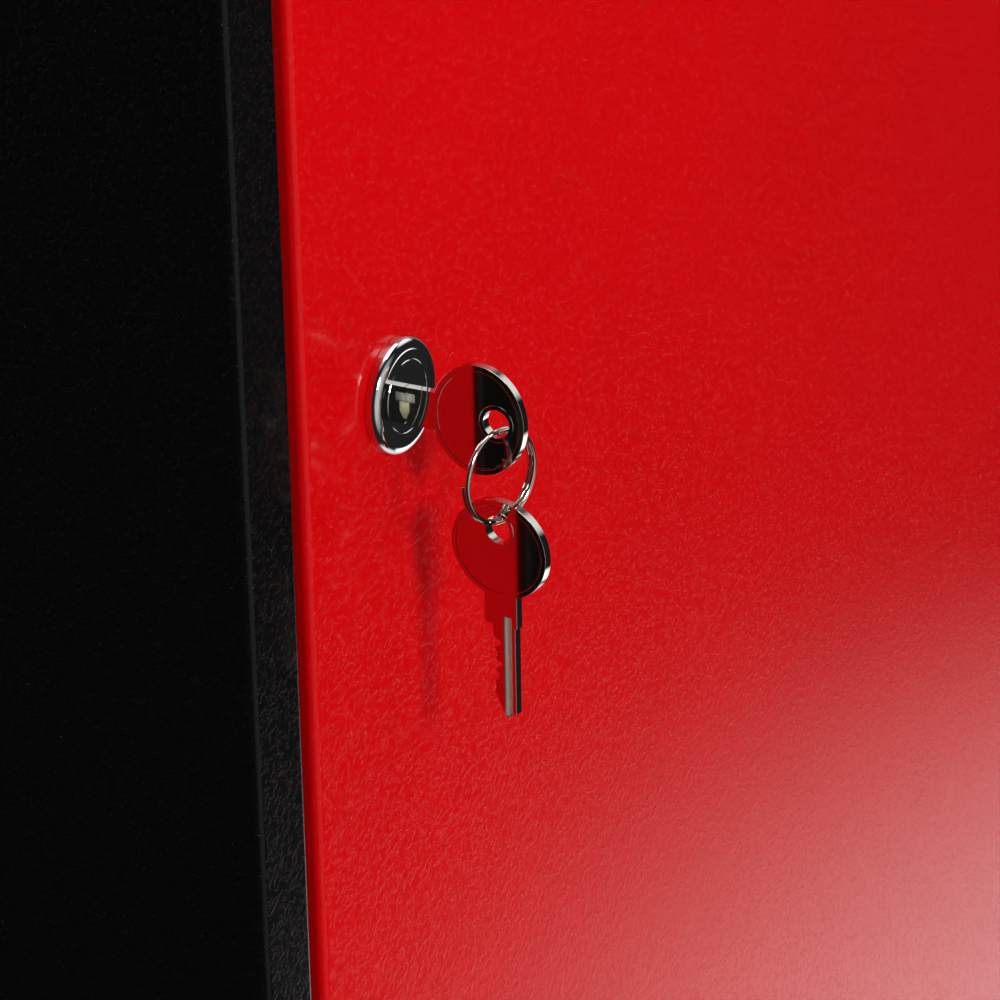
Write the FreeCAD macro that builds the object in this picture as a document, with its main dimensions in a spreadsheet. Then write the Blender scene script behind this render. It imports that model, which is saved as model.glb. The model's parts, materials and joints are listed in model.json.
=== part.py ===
import FreeCAD, Part
import math
import os
import re
from collections import namedtuple

import Sketcher
from FreeCAD import Placement, Rotation, Vector

# Rolling tool cabinet with one flat hinged door and a cam lock.
# Frame: origin on the floor below the middle of the whole cabinet, front
# faces -Y, the lock is on the left, the hinges are on the right (+X), +Z up.
# All lengths are in millimetres.

OVERALL_WIDTH = 591.5
OVERALL_DEPTH = 487.0
OVERALL_HEIGHT = 918

DRIVING_SIZES = {
    "Overall": (
        ("overall_width", OVERALL_WIDTH, "side of the carcass to the push handle"),
        ("overall_depth", OVERALL_DEPTH, "back of the carcass to the key in the lock"),
        ("overall_height", OVERALL_HEIGHT, "floor to the tray's rim"),
    ),
    "Carcass": (
        ("steel", 1.0, "sheet of the carcass"),
        ("fold", 1.0, "inner radius of every fold"),
        ("stile", 18, "width of the frame's upright faces"),
        ("sill", 26, "height of the frame's bottom face"),
        ("header", 30, "height of the frame's top face"),
        ("return_depth", 20.5, "frame face to the front of the stop lip"),
        ("lip", 10, "stop lip behind the door's edge"),
        ("weld_flange", 11, "flanges that the panels are welded by"),
        ("rail_flange", 30, "flanges of the sill and the header"),
        ("sheet_fit", 0.5, "side room of a sheet between two others"),
        ("swage_depth", 4, "pressed fields of the back"),
        ("swage_margin", 60, "frame of flat sheet around the pressed fields"),
        ("floor_flange", 12, "upturned edges of the floor"),
    ),
    "Tray": (
        ("rim_height", 28, "wall of the top tray"),
        ("hem", 10, "doubled edge at the rim's top"),
        ("tray_corner", 7, "outer corner radius of the tray"),
        ("mat_fit", 1.5, "room around the mat"),
        ("mat_base", 2.5, "solid part of the mat"),
        ("mat_rib_height", 1.5, "ribs above the mat's base"),
        ("mat_rib_width", 5, "one rib"),
        ("mat_rib_pitch", 12, "from rib to rib"),
    ),
    "Shelves": (
        ("shelf_side", 12, "side wall to the shelf"),
        ("shelf_front", 34, "frame face to the shelf"),
        ("shelf_rear_room", 14, "shelf to the back"),
        ("shelf_edge", 20, "folded edge of a shelf"),
        ("standard_depth", 8, "slotted upright, wall to its face"),
        ("standard_width", 24, "slotted upright"),
        ("standard_sheet", 1.2, "sheet of the uprights"),
        ("standard_inset", 60, "frame face or back to an upright's middle"),
        ("standard_end", 30, "floor or top to an upright's end"),
        ("slot_pitch", 25, "from slot to slot"),
        ("slot_height", 10, "one slot"),
        ("slot_width", 3.2, "one slot"),
        ("slot_end", 15, "upright's end to its first slot"),
        ("lower_slot_count", 7, "slots below the lower shelf's clips"),
        ("upper_slot_count", 17, "slots below the upper shelf's clips"),
        ("clip_sheet", 1.5, "strip of a shelf clip"),
        ("clip_width", 16, "shelf clip"),
        ("clip_tongue", 13, "tongue under the shelf"),
        ("clip_rise", 6, "slot's middle to the tongue's top"),
        ("clip_hook", 5, "hook behind the upright"),
        ("clip_play", 0.2, "room of the hook in its slot"),
    ),
    "Chassis": (
        ("channel_height", 25, "channels between carcass and castors"),
        ("channel_width", 100, "one channel"),
        ("channel_sheet", 2, "sheet of the channels"),
        ("channel_inset", 3, "side of the carcass to a channel's end"),
        ("castor_inset_x", 66, "side of the carcass to a castor's middle"),
        ("castor_inset_y", 72, "front or back to a castor's middle"),
        ("castor_height", 125, "floor to the top of a castor's plate"),
        ("plate_length", 104, "castor plate along X"),
        ("plate_width", 84, "castor plate along Y"),
        ("plate_sheet", 3, "castor plate"),
        ("plate_corner", 6, "corner radius of a castor plate"),
        ("plate_holes_x", 80, "hole to hole along X"),
        ("plate_holes_y", 60, "hole to hole along Y"),
        ("bolt_radius", 4, "castor bolts"),
        ("bolt_hole_radius", 4.3, "holes for the castor bolts"),
        ("bolt_head_radius", 7.5, "over the corners"),
        ("bolt_head_height", 5.3, "castor bolts"),
        ("nut_height", 6.5, "castor nuts"),
        ("bolt_stand", 1.5, "bolt past its nut"),
    ),
    "Castors": (
        ("tyre_radius", 50, "wheel over the tread"),
        ("tyre_width", 32, "wheel over the tread"),
        ("tyre_thickness", 11, "tread above the rim"),
        ("tyre_shoulder", 6, "rounded shoulders of the tread"),
        ("rim_wall", 5, "outer ring of the wheel centre"),
        ("hub_radius", 13, "boss of the wheel centre"),
        ("web_thickness", 9, "disc of the wheel centre"),
        ("rim_inset", 1.5, "tread's side to the rim's side"),
        ("hub_play", 0.5, "boss to fork, each side"),
        ("axle_radius", 5, "wheel axles"),
        ("running_clearance", 0.05, "shaft in its bore, radial"),
        ("axle_head_radius", 8.5, "over the corners"),
        ("axle_head", 5, "heads of the wheel axles"),
        ("fork_sheet", 2.5, "legs and crown of a fork"),
        ("fork_inside", 38, "between the legs"),
        ("fork_top_width", 52, "leg at the crown"),
        ("fork_foot_radius", 13, "leg's round end"),
        ("trail", 34, "swivel axis to wheel axis"),
        ("race_radius", 27, "raised ring under the swivel plate"),
        ("race_height", 5, "raised ring under the swivel plate"),
        ("race_gap", 0.3, "swivel crown to its neighbours"),
        ("crown_radius", 30, "swivel fork's disc"),
        ("crown_height", 5, "swivel fork's disc"),
        ("kingpin_radius", 6, "swivel axis"),
        ("kingpin_head_radius", 10, "head under the crown"),
        ("kingpin_head", 3.5, "head under the crown"),
        ("pedal_width", 30, "brake pedal between the legs"),
        ("pedal_reach", 66, "pedal pin to the pedal's end"),
        ("pedal_sheet", 3, "brake pedal"),
        ("pedal_pin_radius", 3, "brake pedal's pin"),
        ("pedal_pin_drop", 18, "plate's top to the pedal pin"),
        ("pedal_pin_back", 14, "swivel axis to the pedal pin"),
        ("pad_length", 12, "brake pad along the tread"),
        ("pad_gap", 4.5, "brake pad to the tread when it is off"),
        ("pedal_toe", 16, "raised end of the pedal"),
    ),
    "Push handle": (
        ("handle_standoff", 55, "side of the carcass to the tube's middle"),
        ("handle_drop", 62, "top of the carcass to the tube's middle"),
        ("handle_length", 310, "tube from end to end"),
        ("handle_radius", 12.5, "tube"),
        ("handle_wall", 1.5, "wall of the tube"),
        ("socket_wall", 4, "bracket around the tube"),
        ("socket_depth", 20, "tube inside its bracket"),
        ("bracket_foot", 5, "bracket's foot on the carcass"),
        ("bracket_foot_height", 64, "bracket's foot"),
        ("bracket_arm", 22, "bracket's arm, up and down"),
        ("bracket_bolts", 42, "hole to hole on a bracket"),
        ("handle_bolt_radius", 3, "bracket bolts"),
        ("handle_bolt_hole", 3.2, "holes for the bracket bolts"),
        ("handle_bolt_head_radius", 5.2, "bracket bolts"),
        ("handle_bolt_head", 3.3, "bracket bolts"),
        ("handle_nut_radius", 5.8, "over the corners"),
        ("handle_nut", 5, "nuts inside the carcass"),
    ),
    "Door": (
        ("door_depth", 20, "door skin to the door's back"),
        ("door_proud", 1.0, "door skin ahead of the frame"),
        ("door_gap", 2.5, "door to frame, left, top and bottom"),
        ("hinge_gap", 3.0, "door to frame on the hinge side"),
        ("door_return", 14, "inward fold at the door's back"),
        ("hat_height", 16, "stiffener's depth"),
        ("hat_top", 46, "stiffener's crest"),
        ("hat_foot", 16, "stiffener's welded edges"),
        ("hat_width_share", 0.34, "door's edge to a stiffener, of the door's width"),
        ("buffer_radius", 4, "rubber buffers"),
        ("buffer_height", 1.2, "rubber buffers"),
        ("buffer_inset", 62, "buffers to the frame's ends"),
        ("knuckle_radius", 4, "hinge knuckles"),
        ("hinge_pin_radius", 2, "hinge pins"),
        ("hinge_stand", 4.3, "door skin to the hinge axis"),
        ("hinge_leaf", 1.2, "leaf of a hinge"),
        ("hinge_leaf_width", 17, "hinge axis to a leaf's edge"),
        ("hinge_height", 66, "one hinge"),
        ("knuckle_gap", 0.3, "between knuckles"),
        ("hinge_inset", 92, "door's end to a hinge's middle"),
        ("pin_head_radius", 3.6, "round ends of the hinge pin"),
        ("pin_head", 1.8, "round ends of the hinge pin"),
    ),
    "Lock": (
        ("lock_inset", 35.3, "door's left edge to the lock"),
        ("lock_rise", 345, "door's bottom edge to the lock"),
        ("bezel_radius", 12.5, "lock's front ring"),
        ("bezel_height", 3.0, "lock's front ring"),
        ("bezel_bevel", 0.7, "bright edge of the front ring"),
        ("barrel_radius", 9, "lock body behind the skin"),
        ("barrel_length", 23, "skin's front to the body's end"),
        ("barrel_clearance", 0.15, "lock body in its hole"),
        ("lock_nut_radius", 14, "over the corners"),
        ("lock_nut_height", 4, "nut behind the skin"),
        ("plug_radius", 7.75, "turning cylinder"),
        ("plug_sink", 0.15, "cylinder's face below the ring"),
        ("plug_stand", 0.3, "cylinder past the lock body"),
        ("keyway_width", 2.4, "slot for the key"),
        ("keyway_top", 2.15, "axis to the slot's top"),
        ("keyway_bottom", 4.15, "axis to the slot's foot"),
        ("keyway_depth", 22, "slot from the cylinder's face"),
        ("wafer_width", 5.4, "brass plates in the cylinder"),
        ("wafer_height", 13, "brass plates in the cylinder"),
        ("wafer_sheet", 1.0, "one plate"),
        ("wafer_pitch", 2.3, "from plate to plate"),
        ("wafer_start", 3.2, "skin's front to the first plate"),
        ("wafer_count", 5, "plates"),
        ("wafer_play", 0.2, "plates in their chamber"),
        ("cam_square", 8, "square end that carries the cam"),
        ("cam_fit", 0.05, "cam on its square, each side"),
        ("cam_sheet", 2.5, "cam"),
        ("cam_width", 18, "cam"),
        ("cam_length", 45, "lock axis to the cam's tip"),
        ("square_short", 0.2, "square end below the cam's back"),
        ("cam_screw_radius", 2, "screw that holds the cam"),
        ("cam_screw_clearance", 0.1, "screw in the cylinder, radial"),
        ("cam_screw_head_radius", 6.2, "screw that holds the cam"),
        ("cam_screw_head", 2.4, "screw that holds the cam"),
        ("cam_screw_length", 6.5, "screw that holds the cam"),
        ("cam_screw_slot", 1.2, "slot in the screw's head"),
    ),
    "Keys": (
        ("key_sheet", 2.0, "key from face to face"),
        ("bow_radius", 11.4, "round end of a key"),
        ("bow_drop", 2.05, "cylinder's axis to the bow's middle"),
        ("neck_length", 5.7, "bow's edge to the shoulder"),
        ("neck_top", 2.4, "neck above the cylinder's axis"),
        ("neck_bottom", 5.9, "neck below the cylinder's axis"),
        ("blade_length", 21, "shoulder to tip"),
        ("blade_top", 1.9, "blade above the cylinder's axis"),
        ("blade_bottom", 3.8, "blade below the cylinder's axis"),
        ("key_hole_radius", 3.05, "hole for the ring"),
        ("key_hole_offset", 4.5, "bow's middle to the hole"),
        ("collar_radius", 4.0, "raised ring around the hole"),
        ("collar_height", 0.15, "raised ring around the hole"),
        ("line_inset", 1.1, "bow's edge to its fine line"),
        ("line_width", 0.3, "fine line on the bow"),
        ("line_depth", 0.12, "fine line on the bow"),
        ("milling_width", 1.9, "groove along each side of the blade"),
        ("milling_depth", 0.5, "groove along each side of the blade"),
        ("milling_drop", 0.9, "blade's spine to the groove"),
        ("bitting_start", 4.2, "shoulder to the first cut"),
        ("bitting_pitch", 2.5, "from cut to cut"),
        ("bitting_flat", 0.9, "bottom of a cut"),
        ("tip_length", 2.6, "slanted end of the blade"),
        ("key_seat", 0.1, "key's shoulder to the cylinder's face"),
        ("ring_radius", 9.95, "split ring to its wire's middle"),
        ("ring_wire", 0.55, "radius of the ring's wire"),
        ("ring_pitch", 1.05, "from turn to turn"),
        ("ring_hang", 1.75, "middle of a key's hole to the wire's middle"),
        ("ring_yaw", 12, "ring's plane turned from the door, degrees"),
        ("spare_yaw", -6, "spare key turned from the first key, degrees"),
    ),
}

# Depth of each cut in the keys, as a share of the blade's height.
CUT_DEPTH_SHARES = (0.34, 0.17, 0.40, 0.24, 0.10)

# Places that follow from the sizes.
PLACES = (
    ("handle_reach", "handle_standoff + handle_radius + socket_wall"),
    ("hole_reach", "bow_radius + neck_length + key_hole_offset"),
    ("front_reach", "door_proud + bezel_height + hole_reach + bow_radius"),
    ("carcass_base", "castor_height + channel_height"),
    ("width", "overall_width - handle_reach"),
    ("depth", "overall_depth - front_reach"),
    ("height", "overall_height - carcass_base - rim_height"),
    ("carcass_left", "-(width + handle_reach) / 2"),
    ("carcass_front", "-(depth - front_reach) / 2"),
    ("door_width", "width - 2 * stile - door_gap - hinge_gap"),
    ("door_height", "height - sill - header - 2 * door_gap"),
    ("door_left", "carcass_left + stile + door_gap"),
    ("door_front", "carcass_front - door_proud"),
    ("door_bottom", "carcass_base + sill + door_gap"),
    ("hinge_x", "carcass_left + width - stile - hinge_gap / 2"),
    ("hinge_y", "door_front - hinge_stand"),
    ("lower_hinge_z", "door_bottom + hinge_inset"),
    ("upper_hinge_z", "door_bottom + door_height - hinge_inset"),
    ("lock_x", "door_left + lock_inset"),
    ("lock_z", "door_bottom + lock_rise"),
    ("left_castor_x", "carcass_left + castor_inset_x"),
    ("right_castor_x", "carcass_left + width - castor_inset_x"),
    ("front_castor_y", "carcass_front + castor_inset_y"),
    ("rear_castor_y", "carcass_front + depth - castor_inset_y"),
    ("handle_y", "carcass_front + depth / 2"),
    ("handle_z", "carcass_base + height - handle_drop"),
    ("axle_drop", "castor_height - tyre_radius"),
    ("fork_half", "fork_inside / 2 + fork_sheet"),
    ("outer_fold", "fold + steel"),
    ("shelf_reach", "steel + standard_depth"),
    ("lower_shelf", "standard_end + slot_end + lower_slot_count * slot_pitch + clip_rise"),
    ("upper_shelf", "standard_end + slot_end + upper_slot_count * slot_pitch + clip_rise"),
    ("key_y", "door_front - bezel_height + plug_sink - key_seat"),
    ("hole_y", "key_y - hole_reach"),
    ("ring_top_z", "lock_z - bow_drop - ring_hang"),
    ("ring_bottom_z", "ring_top_z - 2 * ring_radius"),
    ("spare_hole_z", "ring_bottom_z - ring_hang"),
    ("cam_front", "barrel_length + plug_stand"),
)

CARCASS = ("carcass_left", "carcass_front", "carcass_base")
DOOR = ("door_left", "door_front", "door_bottom")
LOCK = ("lock_x", "door_front", "lock_z")
HANDLE = ("carcass_left + width", "handle_y", "handle_z")
CASTORS = {
    "left_front": ("left_castor_x", "front_castor_y", "castor_height"),
    "left_rear": ("left_castor_x", "rear_castor_y", "castor_height"),
    "right_front": ("right_castor_x", "front_castor_y", "castor_height"),
    "right_rear": ("right_castor_x", "rear_castor_y", "castor_height"),
}
HOME = ("0", "0", "0")
TURNED_BACK = Rotation(Vector(0, 0, 1), 180)
ALONG = {
    "x": Rotation(Vector(0, 1, 0), 90),
    "y": Rotation(Vector(1, 0, 0), -90),
    "z": Rotation(),
}
SAME_PLACE = 1e-4

Circle = namedtuple("Circle", "across up radius")

doc = FreeCAD.newDocument("tool_cabinet")
nodes = {}


def fill_sheets():
    """Write the driving sizes and the places worked out from them."""
    sizes = doc.addObject("Spreadsheet::Sheet", "Sizes")
    row = 0
    for title, group in DRIVING_SIZES.items():
        row += 1
        sizes.set(f"A{row}", title)
        for name, number, note in group:
            row += 1
            sizes.set(f"A{row}", name)
            sizes.set(f"B{row}", str(number))
            sizes.setAlias(f"B{row}", name)
            sizes.set(f"C{row}", note)
    places = doc.addObject("Spreadsheet::Sheet", "Places")
    for row, (name, formula) in enumerate(PLACES, start=1):
        places.set(f"A{row}", name)
        places.setAlias(f"B{row}", name)
        places.set(f"B{row}", "=" + linked(formula))
    doc.recompute()
    return sizes


def linked(text):
    """Point each size or place named in an expression to its sheet."""
    def owner(match):
        word = match.group(0)
        if word in SIZE_NAMES:
            return "Sizes." + word
        return "Places." + word if word in PLACE_NAMES else word
    return re.sub(r"[a-z][a-z0-9_]*", owner, text)


SIZE_NAMES = {name for group in DRIVING_SIZES.values() for name, _, _ in group}
PLACE_NAMES = {name for name, _ in PLACES}
sheet = fill_sheets()


def value(text):
    """Work out an expression as a number."""
    return float(sheet.evalExpression(linked(text)))


def bind(thing, name, text):
    """Tie one property to an expression."""
    thing.setExpression(name, linked(text))


def put(thing, place, turn=None):
    """Turn a piece and tie its place to three expressions."""
    if turn is not None:
        thing.Placement = Placement(Vector(), turn)
    for axis, text in zip("xyz", place):
        if text != "0":
            bind(thing, f"Placement.Base.{axis}", text)
    return thing


def node(thing, label):
    """Name a finished piece, so that it gets its own file."""
    thing.Label = label
    nodes[label] = thing
    return thing


def box_loop(left, low, right, high):
    """Give the corners of an upright rectangle."""
    return [(left, low), (right, low), (right, high), (left, high)]


def mirrored(loop, length):
    """Mirror a loop about the middle of a length across."""
    return [(f"{length} - ({across})", up) for across, up in loop]


def new_body(name, place=HOME, turn=None):
    """Start a PartDesign body at a place."""
    body = doc.addObject("PartDesign::Body", name)
    return put(body, place, turn)


def origin_feature(body, role):
    """Find one of a body's origin planes or axes."""
    return next(f for f in body.Origin.OriginFeatures if f.Role == role)


def draw(body, plane, start, loops):
    """Draw loops on an origin plane moved along its axis to start."""
    drawing = body.newObject("Sketcher::SketchObject", "Sketch")
    drawing.AttachmentSupport = [(origin_feature(body, plane + "_Plane"), "")]
    drawing.MapMode = "FlatFace"
    bind(drawing, "AttachmentOffset.Base.z", f"-({start})" if plane == "XZ" else start)
    for loop in loops:
        if isinstance(loop, Circle):
            draw_circle(drawing, loop)
        else:
            draw_polygon(drawing, loop)
    return drawing


def pin_point(drawing, geometry, point, across, up):
    """Fix a point of a sketch by its two distances from the origin."""
    for kind, text in (("DistanceX", across), ("DistanceY", up)):
        constraint = Sketcher.Constraint(kind, -1, 1, geometry, point, value(text))
        index = drawing.addConstraint(constraint)
        drawing.setExpression(f"Constraints[{index}]", linked(text))


def draw_circle(drawing, circle):
    """Draw one bound circle."""
    centre = Vector(value(circle.across), value(circle.up), 0)
    outline = Part.Circle(centre, Vector(0, 0, 1), value(circle.radius))
    index = drawing.addGeometry(outline, False)
    pin_point(drawing, index, 3, circle.across, circle.up)
    number = drawing.addConstraint(Sketcher.Constraint("Radius", index, value(circle.radius)))
    drawing.setExpression(f"Constraints[{number}]", linked(circle.radius))


def draw_polygon(drawing, loop):
    """Draw one bound polygon."""
    corners = [Vector(value(across), value(up), 0) for across, up in loop]
    sides = list(zip(corners, corners[1:] + corners[:1]))
    first = drawing.addGeometry([Part.LineSegment(a, b) for a, b in sides], False)[0]
    count = len(loop)
    drawing.addConstraint([
        Sketcher.Constraint("Coincident", first + i, 2, first + (i + 1) % count, 1)
        for i in range(count)])
    for i, (across, up) in enumerate(loop):
        pin_point(drawing, first + i, 1, across, up)


def pad(body, plane, start, length, *loops):
    """Add material from start, along the plane's positive axis."""
    profile = draw(body, plane, start, loops)
    feature = body.newObject("PartDesign::Pad", "Pad")
    feature.Profile = profile
    feature.Reversed = plane == "XZ"
    bind(feature, "Length", length)
    return feature


def pocket(body, plane, start, length, *loops):
    """Cut from start, along the plane's positive axis, and test that it cut."""
    doc.recompute()
    before = body.Shape.Volume
    profile = draw(body, plane, start, loops)
    feature = body.newObject("PartDesign::Pocket", "Pocket")
    feature.Profile = profile
    feature.Reversed = plane != "XZ"
    bind(feature, "Length", length)
    doc.recompute()
    if not body.Shape.Volume < before:
        raise RuntimeError(f"a pocket of {body.Name} cuts nothing")
    return feature


def turned(body, plane, loop):
    """Turn a loop about its plane's upright axis."""
    profile = draw(body, plane, "0", [loop])
    feature = body.newObject("PartDesign::Revolution", "Revolution")
    feature.Profile = profile
    feature.ReferenceAxis = (profile, ["V_Axis"])
    feature.Angle = 360
    return feature


def row_along_z(body, feature, length, count):
    """Repeat a feature upwards."""
    pattern = body.newObject("PartDesign::LinearPattern", "Row")
    pattern.Originals = [feature]
    pattern.Direction = (origin_feature(body, "Z_Axis"), [""])
    bind(pattern, "Length", length)
    bind(pattern, "Occurrences", count)
    body.Tip = pattern
    return pattern


def straight_edges(shape, axis, lines):
    """Name the straight edges along an axis that pass through given places."""
    along = "xyz".index(axis)
    others = [i for i in range(3) if i != along]
    wanted = [(value(first), value(second)) for first, second in lines]
    names = []
    for number, edge in enumerate(shape.Edges, start=1):
        ends = [tuple(vertex.Point) for vertex in edge.Vertexes]
        if len(ends) != 2 or not isinstance(edge.Curve, Part.Line):
            continue
        if any(abs(ends[0][i] - ends[1][i]) > SAME_PLACE for i in others):
            continue
        at = [ends[0][i] for i in others]
        if any(math.dist(at, place) < SAME_PLACE for place in wanted):
            names.append(f"Edge{number}")
    return names


def flat_edges(shape, axis, place):
    """Name the edges that lie in one plane across an axis."""
    along = "xyz".index(axis)
    level = value(place)
    names = []
    for number, edge in enumerate(shape.Edges, start=1):
        if all(abs(vertex.Point[along] - level) < SAME_PLACE for vertex in edge.Vertexes):
            names.append(f"Edge{number}")
    return names


def round_edges(body, radius, names):
    """Round the named edges of the body's last feature."""
    if not names:
        raise RuntimeError(f"no edge of {body.Name} to round")
    base = body.Tip
    feature = body.newObject("PartDesign::Fillet", "Fillet")
    feature.Base = (base, names)
    bind(feature, "Radius", radius)
    doc.recompute()
    return feature


def fold_edges(body, radius, axis, lines):
    """Round straight edges that run along an axis through given places."""
    doc.recompute()
    return round_edges(body, radius, straight_edges(body.Tip.Shape, axis, lines))


def cylinder(radius, length, place, axis="z"):
    """Make a primitive cylinder from a place along an axis."""
    rod = doc.addObject("Part::Cylinder", "Rod")
    bind(rod, "Radius", radius)
    bind(rod, "Height", length)
    return put(rod, place, ALONG[axis])


def hexagon(radius, length, place, axis="z"):
    """Make a primitive hexagon bar from a place along an axis."""
    bar = doc.addObject("Part::Prism", "Hexagon")
    bar.Polygon = 6
    bind(bar, "Circumradius", radius)
    bind(bar, "Height", length)
    return put(bar, place, ALONG[axis])


def fused(pieces, place=HOME, turn=None):
    """Join primitives into one solid."""
    union = doc.addObject("Part::MultiFuse", "Union")
    union.Shapes = pieces
    return put(union, place, turn)


def cut(base, tool, place=HOME, turn=None):
    """Cut one primitive from another."""
    rest = doc.addObject("Part::Cut", "Cut")
    rest.Base = base
    rest.Tool = tool
    return put(rest, place, turn)


def grouped(label, pieces, place=HOME):
    """Keep like pieces together as separate solids of one node."""
    group = doc.addObject("Part::Compound", label)
    group.Links = pieces
    return node(put(group, place), label)


def side_panel(label, right):
    """Fold a side wall with its front face, return and stop lip."""
    def hand(loop):
        return mirrored(loop, "width") if right else loop
    panel = node(new_body(label, CARCASS), label)
    pad(panel, "XY", "0", "height", hand([
        ("0", "0"),
        ("stile", "0"),
        ("stile", "return_depth"),
        ("stile + lip", "return_depth"),
        ("stile + lip", "return_depth + steel"),
        ("stile - steel", "return_depth + steel"),
        ("stile - steel", "steel"),
        ("steel", "steel"),
        ("steel", "depth - steel"),
        ("weld_flange", "depth - steel"),
        ("weld_flange", "depth"),
        ("0", "depth"),
    ]))
    fold_edges(panel, "outer_fold", "z", hand([
        ("0", "0"), ("stile", "0"), ("0", "depth"),
        ("stile - steel", "return_depth + steel")]))
    fold_edges(panel, "fold", "z", hand([
        ("stile", "return_depth"), ("stile - steel", "steel"),
        ("steel", "steel"), ("steel", "depth - steel")]))
    flange = box_loop("steel", "rail_flange", "weld_flange", "depth - 2 * steel")
    for level in ("0", "height - steel"):
        pad(panel, "XY", level, "steel", hand(flange))
    if right:
        holes = [Circle(f"handle_y - carcass_front + {along}", f"height - handle_drop + {up}",
                        "handle_bolt_hole")
                 for along, up in bracket_bolt_places()]
        pocket(panel, "YZ", "width - steel - fold", "steel + 2 * fold", *holes)
    return panel


def frame_rail(label, top):
    """Fold the sill or the header between the two side frames."""
    size = "header" if top else "sill"

    def level(text):
        return f"height - ({text})" if top else text

    def hand(loop):
        return [(across, level(up)) for across, up in loop]
    rail = node(new_body(label, CARCASS), label)
    near = "return_depth - fold"
    pad(rail, "YZ", "stile", "width - 2 * stile", hand([
        ("0", "0"),
        (near, "0"),
        (near, "steel"),
        ("steel", "steel"),
        ("steel", f"{size} - steel"),
        (near, f"{size} - steel"),
        (near, size),
        ("0", size),
    ]))
    fold_edges(rail, "outer_fold", "x", hand([("0", "0"), ("0", size)]))
    fold_edges(rail, "fold", "x", hand([("steel", "steel"), ("steel", f"{size} - steel")]))
    between = ("stile + lip", "width - 2 * stile - 2 * lip")
    pad(rail, "YZ", *between, hand([
        (near, f"{size} - steel"),
        ("return_depth + steel", f"{size} - steel"),
        ("return_depth + steel", f"{size} + lip"),
        ("return_depth", f"{size} + lip"),
        ("return_depth", size),
        (near, size),
    ]))
    pad(rail, "YZ", *between, hand(box_loop(near, "0", "rail_flange", "steel")))
    return rail


def back_panel():
    """Press two shallow fields into the back sheet."""
    panel = node(new_body("back_panel", CARCASS), "back_panel")
    room = "steel + fold + sheet_fit"
    pad(panel, "XZ", "depth - 2 * steel", "steel",
        box_loop(room, "0", f"width - ({room})", "height"))
    fields = [
        ("swage_margin", "height / 2 - swage_margin / 2"),
        ("height / 2 + swage_margin / 2", "height - swage_margin")]
    inner = [box_loop("swage_margin", low, "width - swage_margin", high)
             for low, high in fields]
    outer = [box_loop("swage_margin + steel", f"{low} + steel",
                      "width - swage_margin - steel", f"{high} - steel")
             for low, high in fields]
    pad(panel, "XZ", "depth - 2 * steel - swage_depth", "swage_depth", *inner)
    pocket(panel, "XZ", "depth - steel - swage_depth", "swage_depth", *outer)


def floor_panel():
    """Turn up the floor's side edges against the walls."""
    panel = node(new_body("floor_panel", CARCASS), "floor_panel")
    pad(panel, "XY", "steel", "steel", box_loop(
        "steel", "return_depth + steel", "width - steel", "depth - 2 * steel"))
    pad(panel, "XY", "steel", "floor_flange",
        box_loop("steel", "rail_flange", "2 * steel", "depth - 2 * steel - fold"),
        box_loop("width - 2 * steel", "rail_flange", "width - steel",
                 "depth - 2 * steel - fold"))


def top_tray():
    """Make the carcass top as a tray with a doubled rim."""
    tray = node(new_body("top_tray", CARCASS), "top_tray")
    outer = box_loop("0", "0", "width", "depth")
    wide = box_loop("steel", "steel", "width - steel", "depth - steel")
    narrow = box_loop("2 * steel", "2 * steel", "width - 2 * steel", "depth - 2 * steel")
    pad(tray, "XY", "height", "rim_height", outer)
    pocket(tray, "XY", "height + steel", "rim_height - hem - steel", wide)
    pocket(tray, "XY", "height + rim_height - hem", "hem", narrow)
    fold_edges(tray, "tray_corner", "z", outer)
    fold_edges(tray, "tray_corner - steel", "z", wide)
    fold_edges(tray, "tray_corner - 2 * steel", "z", narrow)
    round_edges(tray, "outer_fold", flat_edges(tray.Tip.Shape, "z", "height"))


def top_mat():
    """Rib the rubber mat that lies in the tray."""
    mat = node(new_body("top_mat", CARCASS), "top_mat")
    edge = "2 * steel + mat_fit"
    pad(mat, "XY", "height + steel", "mat_base",
        box_loop(edge, edge, f"width - ({edge})", f"depth - ({edge})"))
    fold_edges(mat, "tray_corner", "z", [
        (edge, edge), (f"width - ({edge})", edge),
        (edge, f"depth - ({edge})"), (f"width - ({edge})", f"depth - ({edge})")])
    first = f"{edge} + mat_rib_pitch"
    rib = pad(mat, "XY", "height + steel", "mat_base + mat_rib_height", box_loop(
        first, f"{edge} + mat_rib_width", f"{first} + mat_rib_width",
        f"depth - ({edge}) - mat_rib_width"))
    room = f"width - 2 * ({edge}) - 2 * mat_rib_pitch - mat_rib_width"
    pattern = mat.newObject("PartDesign::LinearPattern", "Ribs")
    pattern.Originals = [rib]
    pattern.Direction = (origin_feature(mat, "X_Axis"), [""])
    bind(pattern, "Length", f"floor(({room}) / mat_rib_pitch) * mat_rib_pitch")
    bind(pattern, "Occurrences", f"floor(({room}) / mat_rib_pitch) + 1")
    mat.Tip = pattern


def shelf(label, level):
    """Fold a shelf with four turned-down edges."""
    pan = node(new_body(label, CARCASS), label)
    rear = "depth - 2 * steel - shelf_rear_room"
    outer = box_loop("shelf_side", "shelf_front", "width - shelf_side", rear)
    inner = box_loop("shelf_side + steel", "shelf_front + steel",
                     "width - shelf_side - steel", f"{rear} - steel")
    pad(pan, "XY", level, "shelf_edge", outer)
    pocket(pan, "XY", level, "shelf_edge - steel", inner)
    fold_edges(pan, "outer_fold", "z", outer)
    fold_edges(pan, "fold", "z", inner)
    round_edges(pan, "outer_fold", flat_edges(pan.Tip.Shape, "z", f"{level} + shelf_edge"))


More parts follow.
